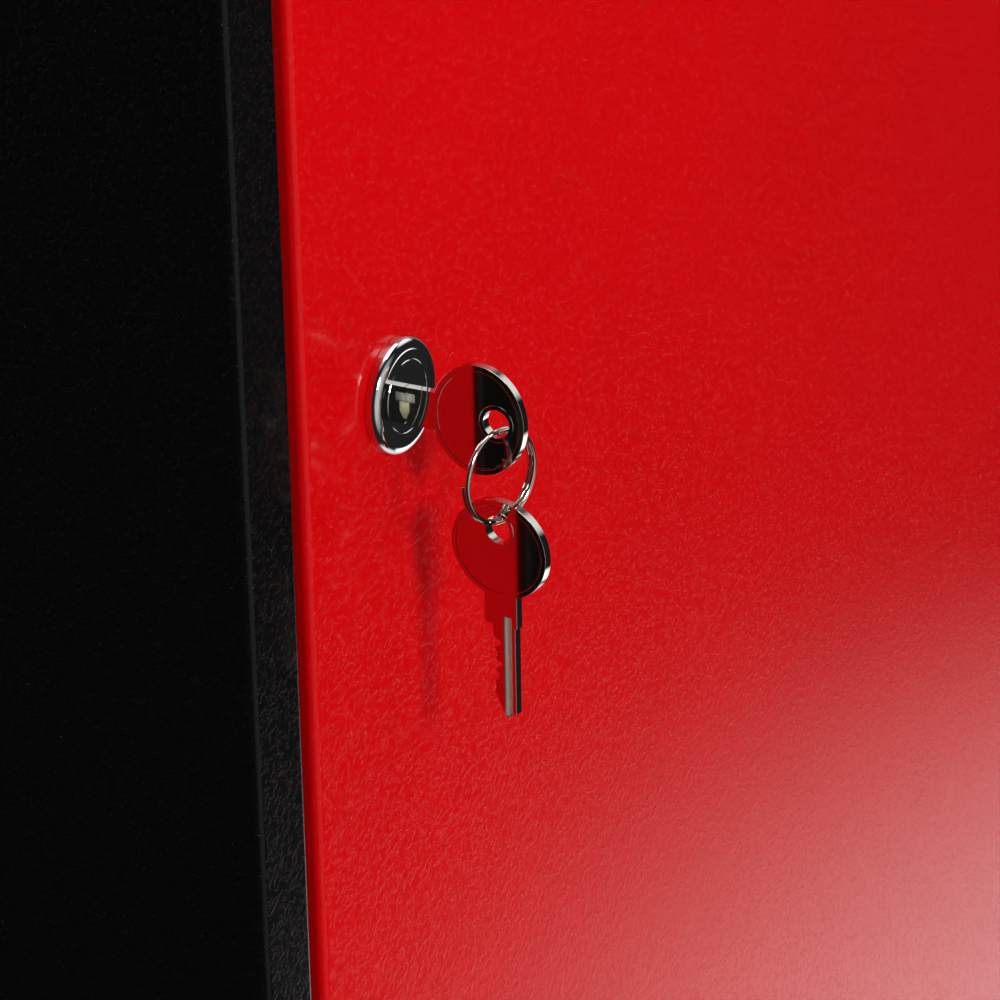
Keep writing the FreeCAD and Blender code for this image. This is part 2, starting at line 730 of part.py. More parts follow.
def shelf_standard(across, along, turn):
    """Slot an upright channel that stands against a side wall."""
    upright = new_body("Standard", (across, along, "carcass_base + standard_end"), turn)
    half = "standard_width / 2"
    thin = f"({half} - standard_sheet)"
    length = "height - 2 * standard_end"
    pad(upright, "XY", "0", length, [
        ("0", f"-{half}"),
        ("standard_depth", f"-{half}"),
        ("standard_depth", half),
        ("0", half),
        ("0", thin),
        ("standard_depth - standard_sheet", thin),
        ("standard_depth - standard_sheet", f"-{thin}"),
        ("0", f"-{thin}"),
    ])
    fold_edges(upright, "fold", "z", [("standard_depth", f"-{half}"), ("standard_depth", half)])
    slot = pocket(upright, "YZ", "standard_depth - standard_sheet", "standard_sheet", box_loop(
        "-slot_width / 2", "slot_end - slot_height / 2",
        "slot_width / 2", "slot_end + slot_height / 2"))
    rows = f"floor(({length} - 2 * slot_end) / slot_pitch)"
    row_along_z(upright, slot, f"{rows} * slot_pitch", f"{rows} + 1")
    return upright


def shelf_clip(across, along, level, turn):
    """Hook a clip into an upright's slot, with its tongue under a shelf."""
    clip = new_body("Clip", (across, along, level), turn)
    behind = "-(standard_sheet + clip_play + clip_sheet)"
    hook = "slot_height / 2 - clip_play"
    pad(clip, "XZ", "-clip_width / 2", "clip_width", [
        ("0", f"-({hook})"),
        ("clip_sheet", f"-({hook})"),
        ("clip_sheet", "clip_rise - clip_sheet"),
        ("clip_tongue", "clip_rise - clip_sheet"),
        ("clip_tongue", "clip_rise"),
        ("0", "clip_rise"),
    ])
    narrow = "slot_width / 2 - clip_play"
    pad(clip, "XZ", f"-({narrow})", f"2 * ({narrow})", [
        ("0", f"-({hook})"),
        ("0", f"clip_sheet - {hook}"),
        (behind, f"clip_sheet - {hook}"),
        (behind, f"-({hook}) - clip_hook"),
        (f"{behind} + clip_sheet", f"-({hook}) - clip_hook"),
        (f"{behind} + clip_sheet", f"-({hook})"),
    ])
    return clip


def shelf_fittings():
    """Place four uprights and the eight clips on them."""
    uprights = []
    clips = []
    sides = (("steel", "shelf_reach", None), ("width - steel", "width - shelf_reach", TURNED_BACK))
    for wall, face, turn in sides:
        for inset in ("standard_inset", "depth - standard_inset"):
            along = f"carcass_front + {inset}"
            uprights.append(shelf_standard(f"carcass_left + {wall}", along, turn))
            for level in ("lower_shelf", "upper_shelf"):
                height = f"carcass_base + {level} - clip_rise"
                clips.append(shelf_clip(f"carcass_left + {face}", along, height, turn))
    grouped("shelf_standards", uprights)
    grouped("shelf_clips", clips)


def plate_corners():
    """Give the four bolt places of a castor plate."""
    return [(f"{side} * plate_holes_x / 2", f"{end} * plate_holes_y / 2")
            for side in (-1, 1) for end in (-1, 1)]


def chassis_channels():
    """Hang two open channels below the carcass for the castors."""
    channels = []
    for along in ("castor_inset_y", "depth - castor_inset_y"):
        channel = new_body("Channel", CARCASS)
        near = f"{along} - channel_width / 2"
        far = f"{along} + channel_width / 2"
        pad(channel, "YZ", "channel_inset", "width - 2 * channel_inset", [
            (near, "-channel_height"),
            (far, "-channel_height"),
            (far, "0"),
            (f"{far} - channel_sheet", "0"),
            (f"{far} - channel_sheet", "channel_sheet - channel_height"),
            (f"{near} + channel_sheet", "channel_sheet - channel_height"),
            (f"{near} + channel_sheet", "0"),
            (near, "0"),
        ])
        fold_edges(channel, "channel_sheet + fold", "x", [
            (near, "-channel_height"), (far, "-channel_height")])
        fold_edges(channel, "fold", "x", [
            (f"{near} + channel_sheet", "channel_sheet - channel_height"),
            (f"{far} - channel_sheet", "channel_sheet - channel_height")])
        holes = [Circle(f"{inset} + {across}", f"{along} + {up}", "bolt_hole_radius")
                 for inset in ("castor_inset_x", "width - castor_inset_x")
                 for across, up in plate_corners()]
        pocket(channel, "XY", "-channel_height", "channel_sheet", *holes)
        channels.append(channel)
    grouped("chassis_channels", channels)


def castor_fasteners():
    """Bolt each castor plate up through its channel."""
    bolts = []
    nuts = []
    for place in CASTORS.values():
        for across, up in plate_corners():
            spot = (f"{place[0]} + {across}", f"{place[1]} + {up}", place[2])
            head = hexagon("bolt_head_radius", "bolt_head_height",
                           ("0", "0", "-plate_sheet - bolt_head_height"))
            shank = cylinder("bolt_radius",
                             "plate_sheet + channel_sheet + nut_height + bolt_stand",
                             ("0", "0", "-plate_sheet"))
            bolts.append(fused([head, shank], spot))
            block = hexagon("bolt_head_radius", "nut_height", ("0", "0", "channel_sheet"))
            bore = cylinder("bolt_radius + running_clearance", "nut_height",
                            ("0", "0", "channel_sheet"))
            nuts.append(cut(block, bore, spot))
    grouped("castor_bolts", bolts)
    grouped("castor_nuts", nuts)


def castor_plate(body, *bores):
    """Add a castor's top plate with its bolt holes."""
    pad(body, "XY", "-plate_sheet", "plate_sheet",
        box_loop("-plate_length / 2", "-plate_width / 2", "plate_length / 2", "plate_width / 2"),
        *[Circle(across, up, "bolt_hole_radius") for across, up in plate_corners()],
        *bores)
    fold_edges(body, "plate_corner", "z", [
        (f"{side} * plate_length / 2", f"{end} * plate_width / 2")
        for side in (-1, 1) for end in (-1, 1)])


def fork_legs(body, crown_low, crown_thickness, axle_x):
    """Add two legs from a crown down to the axle."""
    foot = "axle_drop + fork_foot_radius"
    low_left = (f"{axle_x} - fork_foot_radius", f"-({foot})")
    low_right = (f"{axle_x} + fork_foot_radius", f"-({foot})")
    pad(body, "XZ", "-fork_half", "2 * fork_half", [
        ("-fork_top_width / 2", f"-({crown_low} - {crown_thickness})"),
        low_left,
        low_right,
        ("fork_top_width / 2", f"-({crown_low} - {crown_thickness})"),
    ])
    fold_edges(body, "fork_foot_radius - fold", "y", [low_left, low_right])
    pocket(body, "XZ", "-fork_inside / 2", "fork_inside", box_loop(
        "-plate_length", f"-({foot}) - fold", "plate_length", f"-({crown_low})"))
    pocket(body, "XZ", "-fork_half", "2 * fork_half",
           Circle(axle_x, "-axle_drop", "axle_radius + running_clearance"))


def fixed_castor(side):
    """Make a fixed castor's plate and fork in one pressing."""
    label = f"fixed_castor_{side}_fork"
    fork = node(new_body(label, CASTORS[f"left_{side}"]), label)
    castor_plate(fork)
    fork_legs(fork, "plate_sheet + fork_sheet", "fork_sheet", "0")
    castor_wheel(f"fixed_castor_{side}", CASTORS[f"left_{side}"], "0")


def castor_wheel(name, place, axle_x):
    """Put an axle, a wheel centre and a tyre into a fork."""
    spot = (f"{place[0]} + {axle_x}", place[1], f"{place[2]} - axle_drop")
    shank = cylinder("axle_radius", "2 * fork_half", ("0", "-fork_half", "0"), "y")
    near = hexagon("axle_head_radius", "axle_head", ("0", "-fork_half - axle_head", "0"), "y")
    far = hexagon("axle_head_radius", "axle_head", ("0", "fork_half", "0"), "y")
    node(fused([shank, near, far], spot), f"{name}_axle")

    hub = node(new_body(f"{name}_hub", spot), f"{name}_hub")
    bore = "axle_radius + running_clearance"
    rim = "tyre_radius - tyre_thickness"
    steps = [
        (bore, "fork_inside / 2 - hub_play"),
        ("hub_radius", "fork_inside / 2 - hub_play"),
        ("hub_radius", "web_thickness / 2"),
        (f"{rim} - rim_wall", "web_thickness / 2"),
        (f"{rim} - rim_wall", "tyre_width / 2 - rim_inset"),
        (rim, "tyre_width / 2 - rim_inset"),
    ]
    turned(hub, "XY", [(out, f"-({side})") for out, side in steps] + steps[::-1])

    tyre = node(new_body(f"{name}_tyre", spot), f"{name}_tyre")
    turned(tyre, "XY", box_loop(rim, "-tyre_width / 2", "tyre_radius", "tyre_width / 2"))
    doc.recompute()
    round_edges(tyre, "tyre_shoulder", tread_edges(tyre.Tip.Shape))


def tread_edges(shape):
    """Name the two circles where a tread meets its sides."""
    radius = value("tyre_radius")
    return [f"Edge{number}" for number, edge in enumerate(shape.Edges, start=1)
            if isinstance(edge.Curve, Part.Circle)
            and abs(edge.Curve.Radius - radius) < SAME_PLACE]


def swivel_castor(side):
    """Make a swivel castor with its raceway plate, fork, kingpin and brake."""
    place = CASTORS[f"right_{side}"]
    name = f"swivel_castor_{side}"
    plate = node(new_body(f"{name}_plate", place), f"{name}_plate")
    pin_bore = "kingpin_radius + running_clearance"
    castor_plate(plate, Circle("0", "0", pin_bore))
    pad(plate, "XY", "-plate_sheet - race_height", "race_height",
        Circle("0", "0", "race_radius"), Circle("0", "0", pin_bore))

    fork = node(new_body(f"{name}_fork", place), f"{name}_fork")
    crown_top = "plate_sheet + race_height + race_gap"
    crown_low = f"{crown_top} + crown_height"
    pad(fork, "XY", f"-({crown_low})", "crown_height", Circle("0", "0", "crown_radius"))
    fork_legs(fork, crown_low, "fork_sheet", "-trail")
    pocket(fork, "XY", f"-({crown_low})", "crown_height", Circle("0", "0", pin_bore))
    pocket(fork, "XZ", "-fork_half", "2 * fork_half",
           Circle("-pedal_pin_back", "-pedal_pin_drop", "pedal_pin_radius + running_clearance"))

    kingpin = node(new_body(f"{name}_kingpin", place), f"{name}_kingpin")
    head_top = f"-({crown_low} + race_gap)"
    turned(kingpin, "XZ", [
        ("0", f"{head_top} - kingpin_head"),
        ("kingpin_head_radius", f"{head_top} - kingpin_head"),
        ("kingpin_head_radius", head_top),
        ("kingpin_radius", head_top),
        ("kingpin_radius", "0"),
        ("0", "0"),
    ])
    castor_wheel(name, place, "-trail")
    brake_pedal(name, place)


def brake_pedal(name, place):
    """Make the pedal that turns on a cross pin and brakes the tread."""
    spot = (f"{place[0]} - pedal_pin_back", place[1], f"{place[2]} - pedal_pin_drop")
    pedal = node(new_body(f"{name}_pedal", spot), f"{name}_pedal")
    turned(pedal, "XY", [
        ("0", "-fork_half"), ("pedal_pin_radius", "-fork_half"),
        ("pedal_pin_radius", "fork_half"), ("0", "fork_half")])
    half = "pedal_pin_radius"
    toe = "pedal_reach - pedal_toe"
    pad(pedal, "XZ", "-pedal_width / 2", "pedal_width", [
        (half, f"{half} - pedal_sheet"),
        (half, half),
        (f"-({toe})", half),
        ("-pedal_reach", f"{half} + pedal_sheet"),
        ("-pedal_reach", half),
        (f"-({toe})", f"{half} - pedal_sheet"),
    ])
    middle = "trail - pedal_pin_back + pad_length"
    drop = "axle_drop - pedal_pin_drop - sqrt(tyre_radius ^ 2 - pad_length ^ 2) - pad_gap"
    pad(pedal, "XZ", "-pedal_width / 2", "pedal_width", box_loop(
        f"-({middle} + pad_length / 2)", f"-({drop})",
        f"-({middle} - pad_length / 2)", f"{half} - pedal_sheet / 2"))


def bracket_bolt_places():
    """Give the four bolt places of the push handle's brackets."""
    middle = "(handle_length / 2 - socket_depth / 2)"
    return [(f"{end} * {middle}", f"{side} * bracket_bolts / 2")
            for end in (-1, 1) for side in (-1, 1)]


def push_handle():
    """Hold a tube off the right side between two brackets."""
    tube = node(new_body("push_handle_tube", HANDLE), "push_handle_tube")
    pad(tube, "XZ", "-handle_length / 2", "handle_length",
        Circle("handle_standoff", "0", "handle_radius"),
        Circle("handle_standoff", "0", "handle_radius - handle_wall"))
    outer = "handle_radius + socket_wall"
    for label, sign in (("push_handle_front_bracket", -1), ("push_handle_rear_bracket", 1)):
        bracket = node(new_body(label, HANDLE), label)
        inner_end = f"{sign} * (handle_length / 2 - socket_depth)"
        tube_end = f"{sign} * handle_length / 2"
        low_end = inner_end if sign > 0 else f"{tube_end} - socket_wall"
        length = "socket_depth + socket_wall"
        pad(bracket, "XZ", low_end, length, box_loop(
            "0", "-bracket_foot_height / 2", "bracket_foot", "bracket_foot_height / 2"))
        fold_edges(bracket, "bracket_foot - fold", "y", [
            ("bracket_foot", "-bracket_foot_height / 2"),
            ("bracket_foot", "bracket_foot_height / 2")])
        pad(bracket, "XZ", low_end, length, [
            ("fold", "-bracket_arm / 2 - bracket_foot / 2"),
            ("handle_standoff", "-bracket_arm / 2"),
            ("handle_standoff", "bracket_arm / 2"),
            ("fold", "bracket_arm / 2 + bracket_foot / 2"),
        ])
        pad(bracket, "XZ", low_end, length, Circle("handle_standoff", "0", outer))
        pocket(bracket, "XZ", inner_end if sign > 0 else tube_end, "socket_depth",
               Circle("handle_standoff", "0", "handle_radius + running_clearance"))
        holes = [Circle(along, up, "handle_bolt_hole")
                 for along, up in bracket_bolt_places() if (sign > 0) != along.startswith("-")]
        pocket(bracket, "YZ", "0", "bracket_foot", *holes)
    bolts = []
    nuts = []
    for along, up in bracket_bolt_places():
        head = cylinder("handle_bolt_head_radius", "handle_bolt_head",
                        ("bracket_foot", along, up), "x")
        shank = cylinder("handle_bolt_radius",
                         "bracket_foot + steel + handle_nut + bolt_stand",
                         ("-steel - handle_nut - bolt_stand", along, up), "x")
        socket = hexagon("handle_bolt_radius", "handle_bolt_head / 2",
                         ("bracket_foot + handle_bolt_head / 2", along, up), "x")
        bolts.append(cut(fused([head, shank]), socket, HANDLE))
        block = hexagon("handle_nut_radius", "handle_nut", ("-steel - handle_nut", along, up), "x")
        bore = cylinder("handle_bolt_radius + running_clearance", "handle_nut",
                        ("-steel - handle_nut", along, up), "x")
        nuts.append(cut(block, bore, HANDLE))
    grouped("push_handle_bolts", bolts)
    grouped("push_handle_nuts", nuts)


def door_skin():
    """Fold the door as one shallow pan that opens to the back."""
    skin = node(new_body("door_skin", DOOR), "door_skin")
    outer = box_loop("0", "0", "door_width", "door_height")
    inner = box_loop("steel", "steel", "door_width - steel", "door_height - steel")
    pad(skin, "XZ", "0", "door_depth", outer)
    pocket(skin, "XZ", "steel", "door_depth - 2 * steel", inner)
    pocket(skin, "XZ", "door_depth - steel", "steel", box_loop(
        "door_return", "door_return", "door_width - door_return", "door_height - door_return"))
    fold_edges(skin, "outer_fold", "y", outer)
    fold_edges(skin, "fold", "y", inner)
    round_edges(skin, "outer_fold", flat_edges(skin.Tip.Shape, "y", "0"))
    pocket(skin, "XZ", "0", "steel",
           Circle("lock_inset", "lock_rise", "barrel_radius + barrel_clearance"))


def door_stiffeners():
    """Weld two hat sections behind the skin."""
    hats = []
    half = "hat_top / 2"
    foot = "(hat_top / 2 + hat_foot)"
    for middle in ("door_width * hat_width_share", "door_width * (1 - hat_width_share)"):
        hat = new_body("Stiffener", DOOR)
        pad(hat, "XY", "steel", "door_height - 2 * steel", [
            (f"{middle} - {foot}", "steel"),
            (f"{middle} - {half} + steel", "steel"),
            (f"{middle} - {half} + steel", "hat_height - steel"),
            (f"{middle} + {half} - steel", "hat_height - steel"),
            (f"{middle} + {half} - steel", "steel"),
            (f"{middle} + {foot}", "steel"),
            (f"{middle} + {foot}", "2 * steel"),
            (f"{middle} + {half}", "2 * steel"),
            (f"{middle} + {half}", "hat_height"),
            (f"{middle} - {half}", "hat_height"),
            (f"{middle} - {half}", "2 * steel"),
            (f"{middle} - {foot}", "2 * steel"),
        ])
        fold_edges(hat, "outer_fold", "z", [
            (f"{middle} - {half}", "hat_height"), (f"{middle} + {half}", "hat_height")])
        fold_edges(hat, "fold", "z", [
            (f"{middle} - {half} + steel", "hat_height - steel"),
            (f"{middle} + {half} - steel", "hat_height - steel")])
        hats.append(hat)
    grouped("door_stiffeners", hats)


def door_buffers():
    """Put four rubber buffers on the stop lips."""
    grouped("door_buffers", [
        cylinder("buffer_radius", "buffer_height",
                 (f"carcass_left + {across}", "carcass_front + return_depth - buffer_height",
                  f"carcass_base + {up}"), "y")
        for across in ("stile + lip / 2", "width - stile - lip / 2")
        for up in ("sill + buffer_inset", "height - header - buffer_inset")])


def hinge(name, level):
    """Make two leaves with rolled knuckles and the pin through them."""
    place = ("hinge_x", "hinge_y", level)
    half = "hinge_height / 2"
    sixth = "(hinge_height / 6)"
    bore = "hinge_pin_radius + running_clearance"
    behind = "knuckle_radius + knuckle_gap"
    leaves = (
        ("frame_leaf", "hinge_gap / 2 - hinge_leaf", "hinge_gap / 2",
         ((f"-{half}", f"{half} - {sixth} - knuckle_gap / 2"),
          (f"{sixth} + knuckle_gap / 2", f"{half} - {sixth} - knuckle_gap / 2"))),
        ("door_leaf", "-hinge_gap / 2", "hinge_leaf - hinge_gap / 2",
         ((f"knuckle_gap / 2 - {sixth}", f"2 * {sixth} - knuckle_gap"),)),
    )
    for part, near, far, knuckles in leaves:
        label = f"{name}_hinge_{part}"
        leaf = node(new_body(label, place), label)
        pad(leaf, "XY", f"-{half}", "hinge_height",
            box_loop(near, behind, far, "hinge_leaf_width"))
        for start, length in knuckles:
            pad(leaf, "XY", start, length, box_loop(
                near, "(hinge_pin_radius + knuckle_radius) / 2", far, behind))
            pad(leaf, "XY", start, length, Circle("0", "0", "knuckle_radius"))
            pocket(leaf, "XY", start, length, Circle("0", "0", bore))
    pin = node(new_body(f"{name}_hinge_pin", place), f"{name}_hinge_pin")
    turned(pin, "XZ", [
        ("0", f"-{half} - pin_head"),
        ("pin_head_radius - pin_head / 2", f"-{half} - pin_head"),
        ("pin_head_radius", f"-{half} - pin_head / 2"),
        ("pin_head_radius", f"-{half}"),
        ("hinge_pin_radius", f"-{half}"),
        ("hinge_pin_radius", half),
        ("pin_head_radius", half),
        ("pin_head_radius", f"{half} + pin_head / 2"),
        ("pin_head_radius - pin_head / 2", f"{half} + pin_head"),
        ("0", f"{half} + pin_head"),
    ])


def lock_housing():
    """Turn the lock's front ring and threaded body, and its nut."""
    housing = node(new_body("lock_housing", LOCK), "lock_housing")
    bore = "plug_radius + running_clearance"
    turned(housing, "XY", [
        (bore, "-bezel_height"),
        ("bezel_radius - bezel_bevel", "-bezel_height"),
        ("bezel_radius", "bezel_bevel - bezel_height"),
        ("bezel_radius", "0"),
        ("barrel_radius", "0"),
        ("barrel_radius", "barrel_length"),
        (bore, "barrel_length"),
    ])
    block = hexagon("lock_nut_radius", "lock_nut_height", ("0", "steel", "0"), "y")
    opening = cylinder("barrel_radius + running_clearance", "lock_nut_height",
                       ("0", "steel", "0"), "y")
    node(cut(block, opening, LOCK), "lock_nut")


def lock_plug():
    """Make the turning cylinder with its keyway, chamber and square end."""
    plug = node(new_body("lock_plug", LOCK), "lock_plug")
    face = "plug_sink - bezel_height"
    turned(plug, "XY", [
        ("0", face), ("plug_radius", face), ("plug_radius", "cam_front"), ("0", "cam_front")])
    half = "cam_square / 2"
    square = "cam_sheet - square_short"
    pad(plug, "XZ", "cam_front", square, box_loop(f"-{half}", f"-{half}", half, half))
    pocket(plug, "XZ", face, "keyway_depth", box_loop(
        "-keyway_width / 2", "-keyway_bottom", "keyway_width / 2", "keyway_top"))
    last = "wafer_start + (wafer_count - 1) * wafer_pitch + wafer_sheet + wafer_play"
    side = "wafer_width / 2 + wafer_play"
    pocket(plug, "XY", "-plug_radius", "2 * plug_radius", box_loop(
        f"-({side})", "wafer_start - wafer_play", side, last))
    pocket(plug, "XZ", f"cam_front + {square} - cam_screw_length", "cam_screw_length",
           Circle("0", "0", "cam_screw_radius + cam_screw_clearance"))


def lock_wafers():
    """Stack the brass plates that the key lifts."""
    plates = []
    for index in range(int(value("wafer_count"))):
        plate = new_body("Wafer", LOCK)
        pad(plate, "XZ", f"wafer_start + {index} * wafer_pitch", "wafer_sheet",
            box_loop("-wafer_width / 2", "-wafer_height / 2", "wafer_width / 2", "wafer_height / 2"),
            box_loop("-keyway_width / 2", "-keyway_bottom", "keyway_width / 2", "keyway_top"))
        plates.append(plate)
    grouped("lock_wafers", plates)


def lock_cam():
    """Make the cam that goes behind the frame's lip, and its screw."""
    cam = node(new_body("lock_cam", LOCK), "lock_cam")
    side = "cam_width / 2"
    outline = box_loop(f"-{side}", "-cam_length", side, side)
    pad(cam, "XZ", "cam_front", "cam_sheet", outline)
    fold_edges(cam, f"{side} - fold", "y", outline)
    hole = "cam_square / 2 + cam_fit"
    pocket(cam, "XZ", "cam_front", "cam_sheet",
           box_loop(f"-({hole})", f"-({hole})", hole, hole))
    behind = "cam_front + cam_sheet"
    head = cylinder("cam_screw_head_radius", "cam_screw_head", ("0", behind, "0"), "y")
    shank = cylinder("cam_screw_radius", "cam_screw_length",
                     ("0", f"{behind} - cam_screw_length", "0"), "y")
    slot = doc.addObject("Part::Box", "Slot")
    bind(slot, "Length", "2 * cam_screw_head_radius")
    bind(slot, "Width", "cam_screw_head / 2")
    bind(slot, "Height", "cam_screw_slot")
    put(slot, ("-cam_screw_head_radius", f"{behind} + cam_screw_head / 2", "-cam_screw_slot / 2"))
    node(cut(fused([head, shank]), slot, LOCK), "cam_screw")


def key_cuts():
    """Give the blade's lower edge, from the shoulder to the tip."""
    blade = "(blade_top + blade_bottom)"
    points = []
    for index, share in enumerate(CUT_DEPTH_SHARES):
        middle = f"bitting_start + {index} * bitting_pitch"
        wall = "(bitting_pitch - bitting_flat) / 2"
        floor = f"{share} * {blade} - blade_bottom"
        peak = f"{min(CUT_DEPTH_SHARES)} * {blade} / 2 - blade_bottom"
        if index == 0:
            points.append((f"{middle} - bitting_flat / 2 - {wall}", "-blade_bottom"))
        points.append((f"{middle} - bitting_flat / 2", floor))
        points.append((f"{middle} + bitting_flat / 2", floor))
        points.append((f"{middle} + bitting_flat / 2 + {wall}", peak))
    return points


def key(label, place, turn=None):
    """Cut a key: +Y runs from the shoulder to the tip, +Z is its spine."""
    blank = node(new_body(label, place, turn), label)
    middle = "-(bow_radius + neck_length)"
    near = "-key_sheet / 2"
    bow = Circle(middle, "-bow_drop", "bow_radius")
    pad(blank, "YZ", near, "key_sheet", bow)
    pad(blank, "YZ", near, "key_sheet", box_loop(
        f"{middle}", "-neck_bottom", "0", "neck_top"))
    pad(blank, "YZ", near, "key_sheet", [
        ("-neck_length", "-blade_bottom"),
        *key_cuts(),
        ("blade_length - tip_length", "tip_length - blade_bottom - blade_top / 2"),
        ("blade_length", "tip_length / 2 - blade_top"),
        ("blade_length - tip_length / 2", "blade_top"),
        ("-neck_length", "blade_top"),
    ])
    hole = Circle(f"{middle} - key_hole_offset", "-bow_drop", "key_hole_radius")
    collar = Circle(hole.across, hole.up, "collar_radius")
    pad(blank, "YZ", f"{near} - collar_height", "key_sheet + 2 * collar_height", collar)
    pocket(blank, "YZ", f"{near} - collar_height", "key_sheet + 2 * collar_height", hole)
    line = (Circle(middle, "-bow_drop", "bow_radius - line_inset"),
            Circle(middle, "-bow_drop", "bow_radius - line_inset - line_width"))
    groove_top = "blade_top - milling_drop"
    groove = box_loop("-neck_length / 2", f"{groove_top} - milling_width",
                      "blade_length - tip_length", groove_top)
    for face, depth, loops in (
            (near, "line_depth", line),
            ("key_sheet / 2 - line_depth", "line_depth", line),
            (near, "milling_depth", (groove,)),
            ("key_sheet / 2 - milling_depth", "milling_depth", (groove,))):
        pocket(blank, "YZ", face, depth, *loops)
    return blank


def keys_and_ring():
    """Put one key in the lock and hang the spare one from it by a ring."""
    key("key_in_lock", ("lock_x", "key_y", "lock_z"))

    yaw = Rotation(Vector(0, 0, 1), -value("ring_yaw"))
    turns = []
    for sign in (-1, 1):
        turn = doc.addObject("Part::Torus", "Turn")
        bind(turn, "Radius1", "ring_radius")
        bind(turn, "Radius2", "ring_wire")
        turns.append(put(turn, ("0", "0", f"{sign} * ring_pitch / 2")))
    centre = ("lock_x", "hole_y", "ring_top_z - ring_radius")
    node(fused(turns, centre, yaw * ALONG["y"]), "split_ring")

    hanging = Rotation(Vector(-1, 0, 0), Vector(0, 0, -1), Vector(0, -1, 0), "ZXY")
    spare = Rotation(Vector(0, 0, 1), value("spare_yaw")) * hanging
    back = spare.multVec(Vector(0, 0, 1))
    shift = [f"{part:.9f} * bow_drop" for part in back]
    key("spare_key", (
        f"lock_x + {shift[0]}", f"hole_y + {shift[1]}",
        f"spare_hole_z - hole_reach + {shift[2]}"), spare)


def build():
    """Make every piece of the cabinet."""
    side_panel("side_panel_left", right=False)
    side_panel("side_panel_right", right=True)
    frame_rail("sill_rail", top=False)
    frame_rail("header_rail", top=True)
    back_panel()
    floor_panel()
    top_tray()
    top_mat()
    shelf("shelf_lower", "lower_shelf")
    shelf("shelf_upper", "upper_shelf")
    shelf_fittings()
    chassis_channels()
    castor_fasteners()
    for side in ("front", "rear"):
        fixed_castor(side)
        swivel_castor(side)
    push_handle()
    door_skin()
    door_stiffeners()
    door_buffers()
    hinge("lower", "lower_hinge_z")
    hinge("upper", "upper_hinge_z")
    lock_housing()
    lock_plug()
    lock_wafers()
    lock_cam()
    keys_and_ring()
    doc.recompute()


def check():
    """Stop if any object failed or any piece isn't a valid solid."""
    for thing in doc.Objects:
        if "Invalid" in thing.State or "Error" in thing.State:
            raise RuntimeError(f"{thing.Name} of {thing.Label} failed: {thing.State}")
    for label, thing in nodes.items():
        shape = thing.Shape
        if shape.isNull() or not shape.isValid() or not shape.Solids:
            raise RuntimeError(f"{label} is not a valid solid")


def export():
    """Write one STEP file for each piece."""
    os.makedirs("parts", exist_ok=True)
    for label, thing in nodes.items():
        thing.Shape.exportStep(f"parts/{label}.step")


build()
check()
export()
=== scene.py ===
"""Rolling tool cabinet: finishes, lock, keys, castor trim and the studio for a close view.

Pieces hold their sizes and places in millimetres. Finishes, camera and lamps hold metres.
"""
import json
import logging
import math
from dataclasses import dataclass
from enum import Enum
from typing import Iterable, Sequence

import bmesh
import bpy
from mathutils import Matrix, Vector


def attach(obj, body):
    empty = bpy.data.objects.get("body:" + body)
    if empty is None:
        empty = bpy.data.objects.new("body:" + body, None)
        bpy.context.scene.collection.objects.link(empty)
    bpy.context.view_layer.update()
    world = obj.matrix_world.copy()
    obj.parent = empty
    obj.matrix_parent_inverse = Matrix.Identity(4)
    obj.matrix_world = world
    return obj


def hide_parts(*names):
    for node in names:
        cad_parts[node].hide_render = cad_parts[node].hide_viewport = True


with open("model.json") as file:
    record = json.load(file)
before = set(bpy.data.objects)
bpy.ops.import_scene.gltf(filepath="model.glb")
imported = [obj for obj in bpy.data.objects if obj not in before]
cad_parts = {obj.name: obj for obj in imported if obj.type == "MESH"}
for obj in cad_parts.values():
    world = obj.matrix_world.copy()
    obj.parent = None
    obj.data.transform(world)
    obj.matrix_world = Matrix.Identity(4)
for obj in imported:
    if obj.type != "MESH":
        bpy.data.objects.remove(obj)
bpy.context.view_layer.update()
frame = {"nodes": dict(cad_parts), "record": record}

MM = 0.001
log = logging.getLogger("tool_cabinet")

# Corners closer than this, in metres, are one corner, and a cut this near an edge runs along it.
WELD, HAIR = 1e-7, 1e-8
# A face whose normal has more than this along X lies flat on the key.
FLAT = 0.9

Shape = bmesh.types.BMesh
Vert = bmesh.types.BMVert
Edge = bmesh.types.BMEdge
Face = bmesh.types.BMFace
Socket = bpy.types.NodeSocket
Pair = tuple[float, float]
Triple = tuple[float, float, float]
Colour = Triple

# Colour sockets of the Mix node: first colour, second colour, result.
MIX_LOW, MIX_HIGH, MIX_RESULT = 6, 7, 2
# Lays what is drawn facing local X flat in the door, with its near side to the front.
TO_DOOR = Matrix(((0, -1, 0, 0), (1, 0, 0, 0), (0, 0, 1, 0), (0, 0, 0, 1)))
# Lays what is drawn facing local X across the cabinet's depth.
TO_SIDE = Matrix(((0, 1, 0, 0), (1, 0, 0, 0), (0, 0, 1, 0), (0, 0, 0, 1)))
# Hangs a key from its round end, with the tip down.
TIP_DOWN = Matrix(((-1, 0, 0, 0), (0, 0, -1, 0), (0, -1, 0, 0), (0, 0, 0, 1)))


class Slot(Enum):
    """Names the record's material slots."""

    RED = "red_enamel"
    BLACK = "black_enamel"
    ZINC = "zinc_plate"
    CHROME = "chrome_plate"
    NICKEL = "nickel_plate"
    BRASS = "brass_plate"
    RUBBER = "black_rubber"
    TYRE = "grey_tyre"
    PLASTIC = "black_plastic"


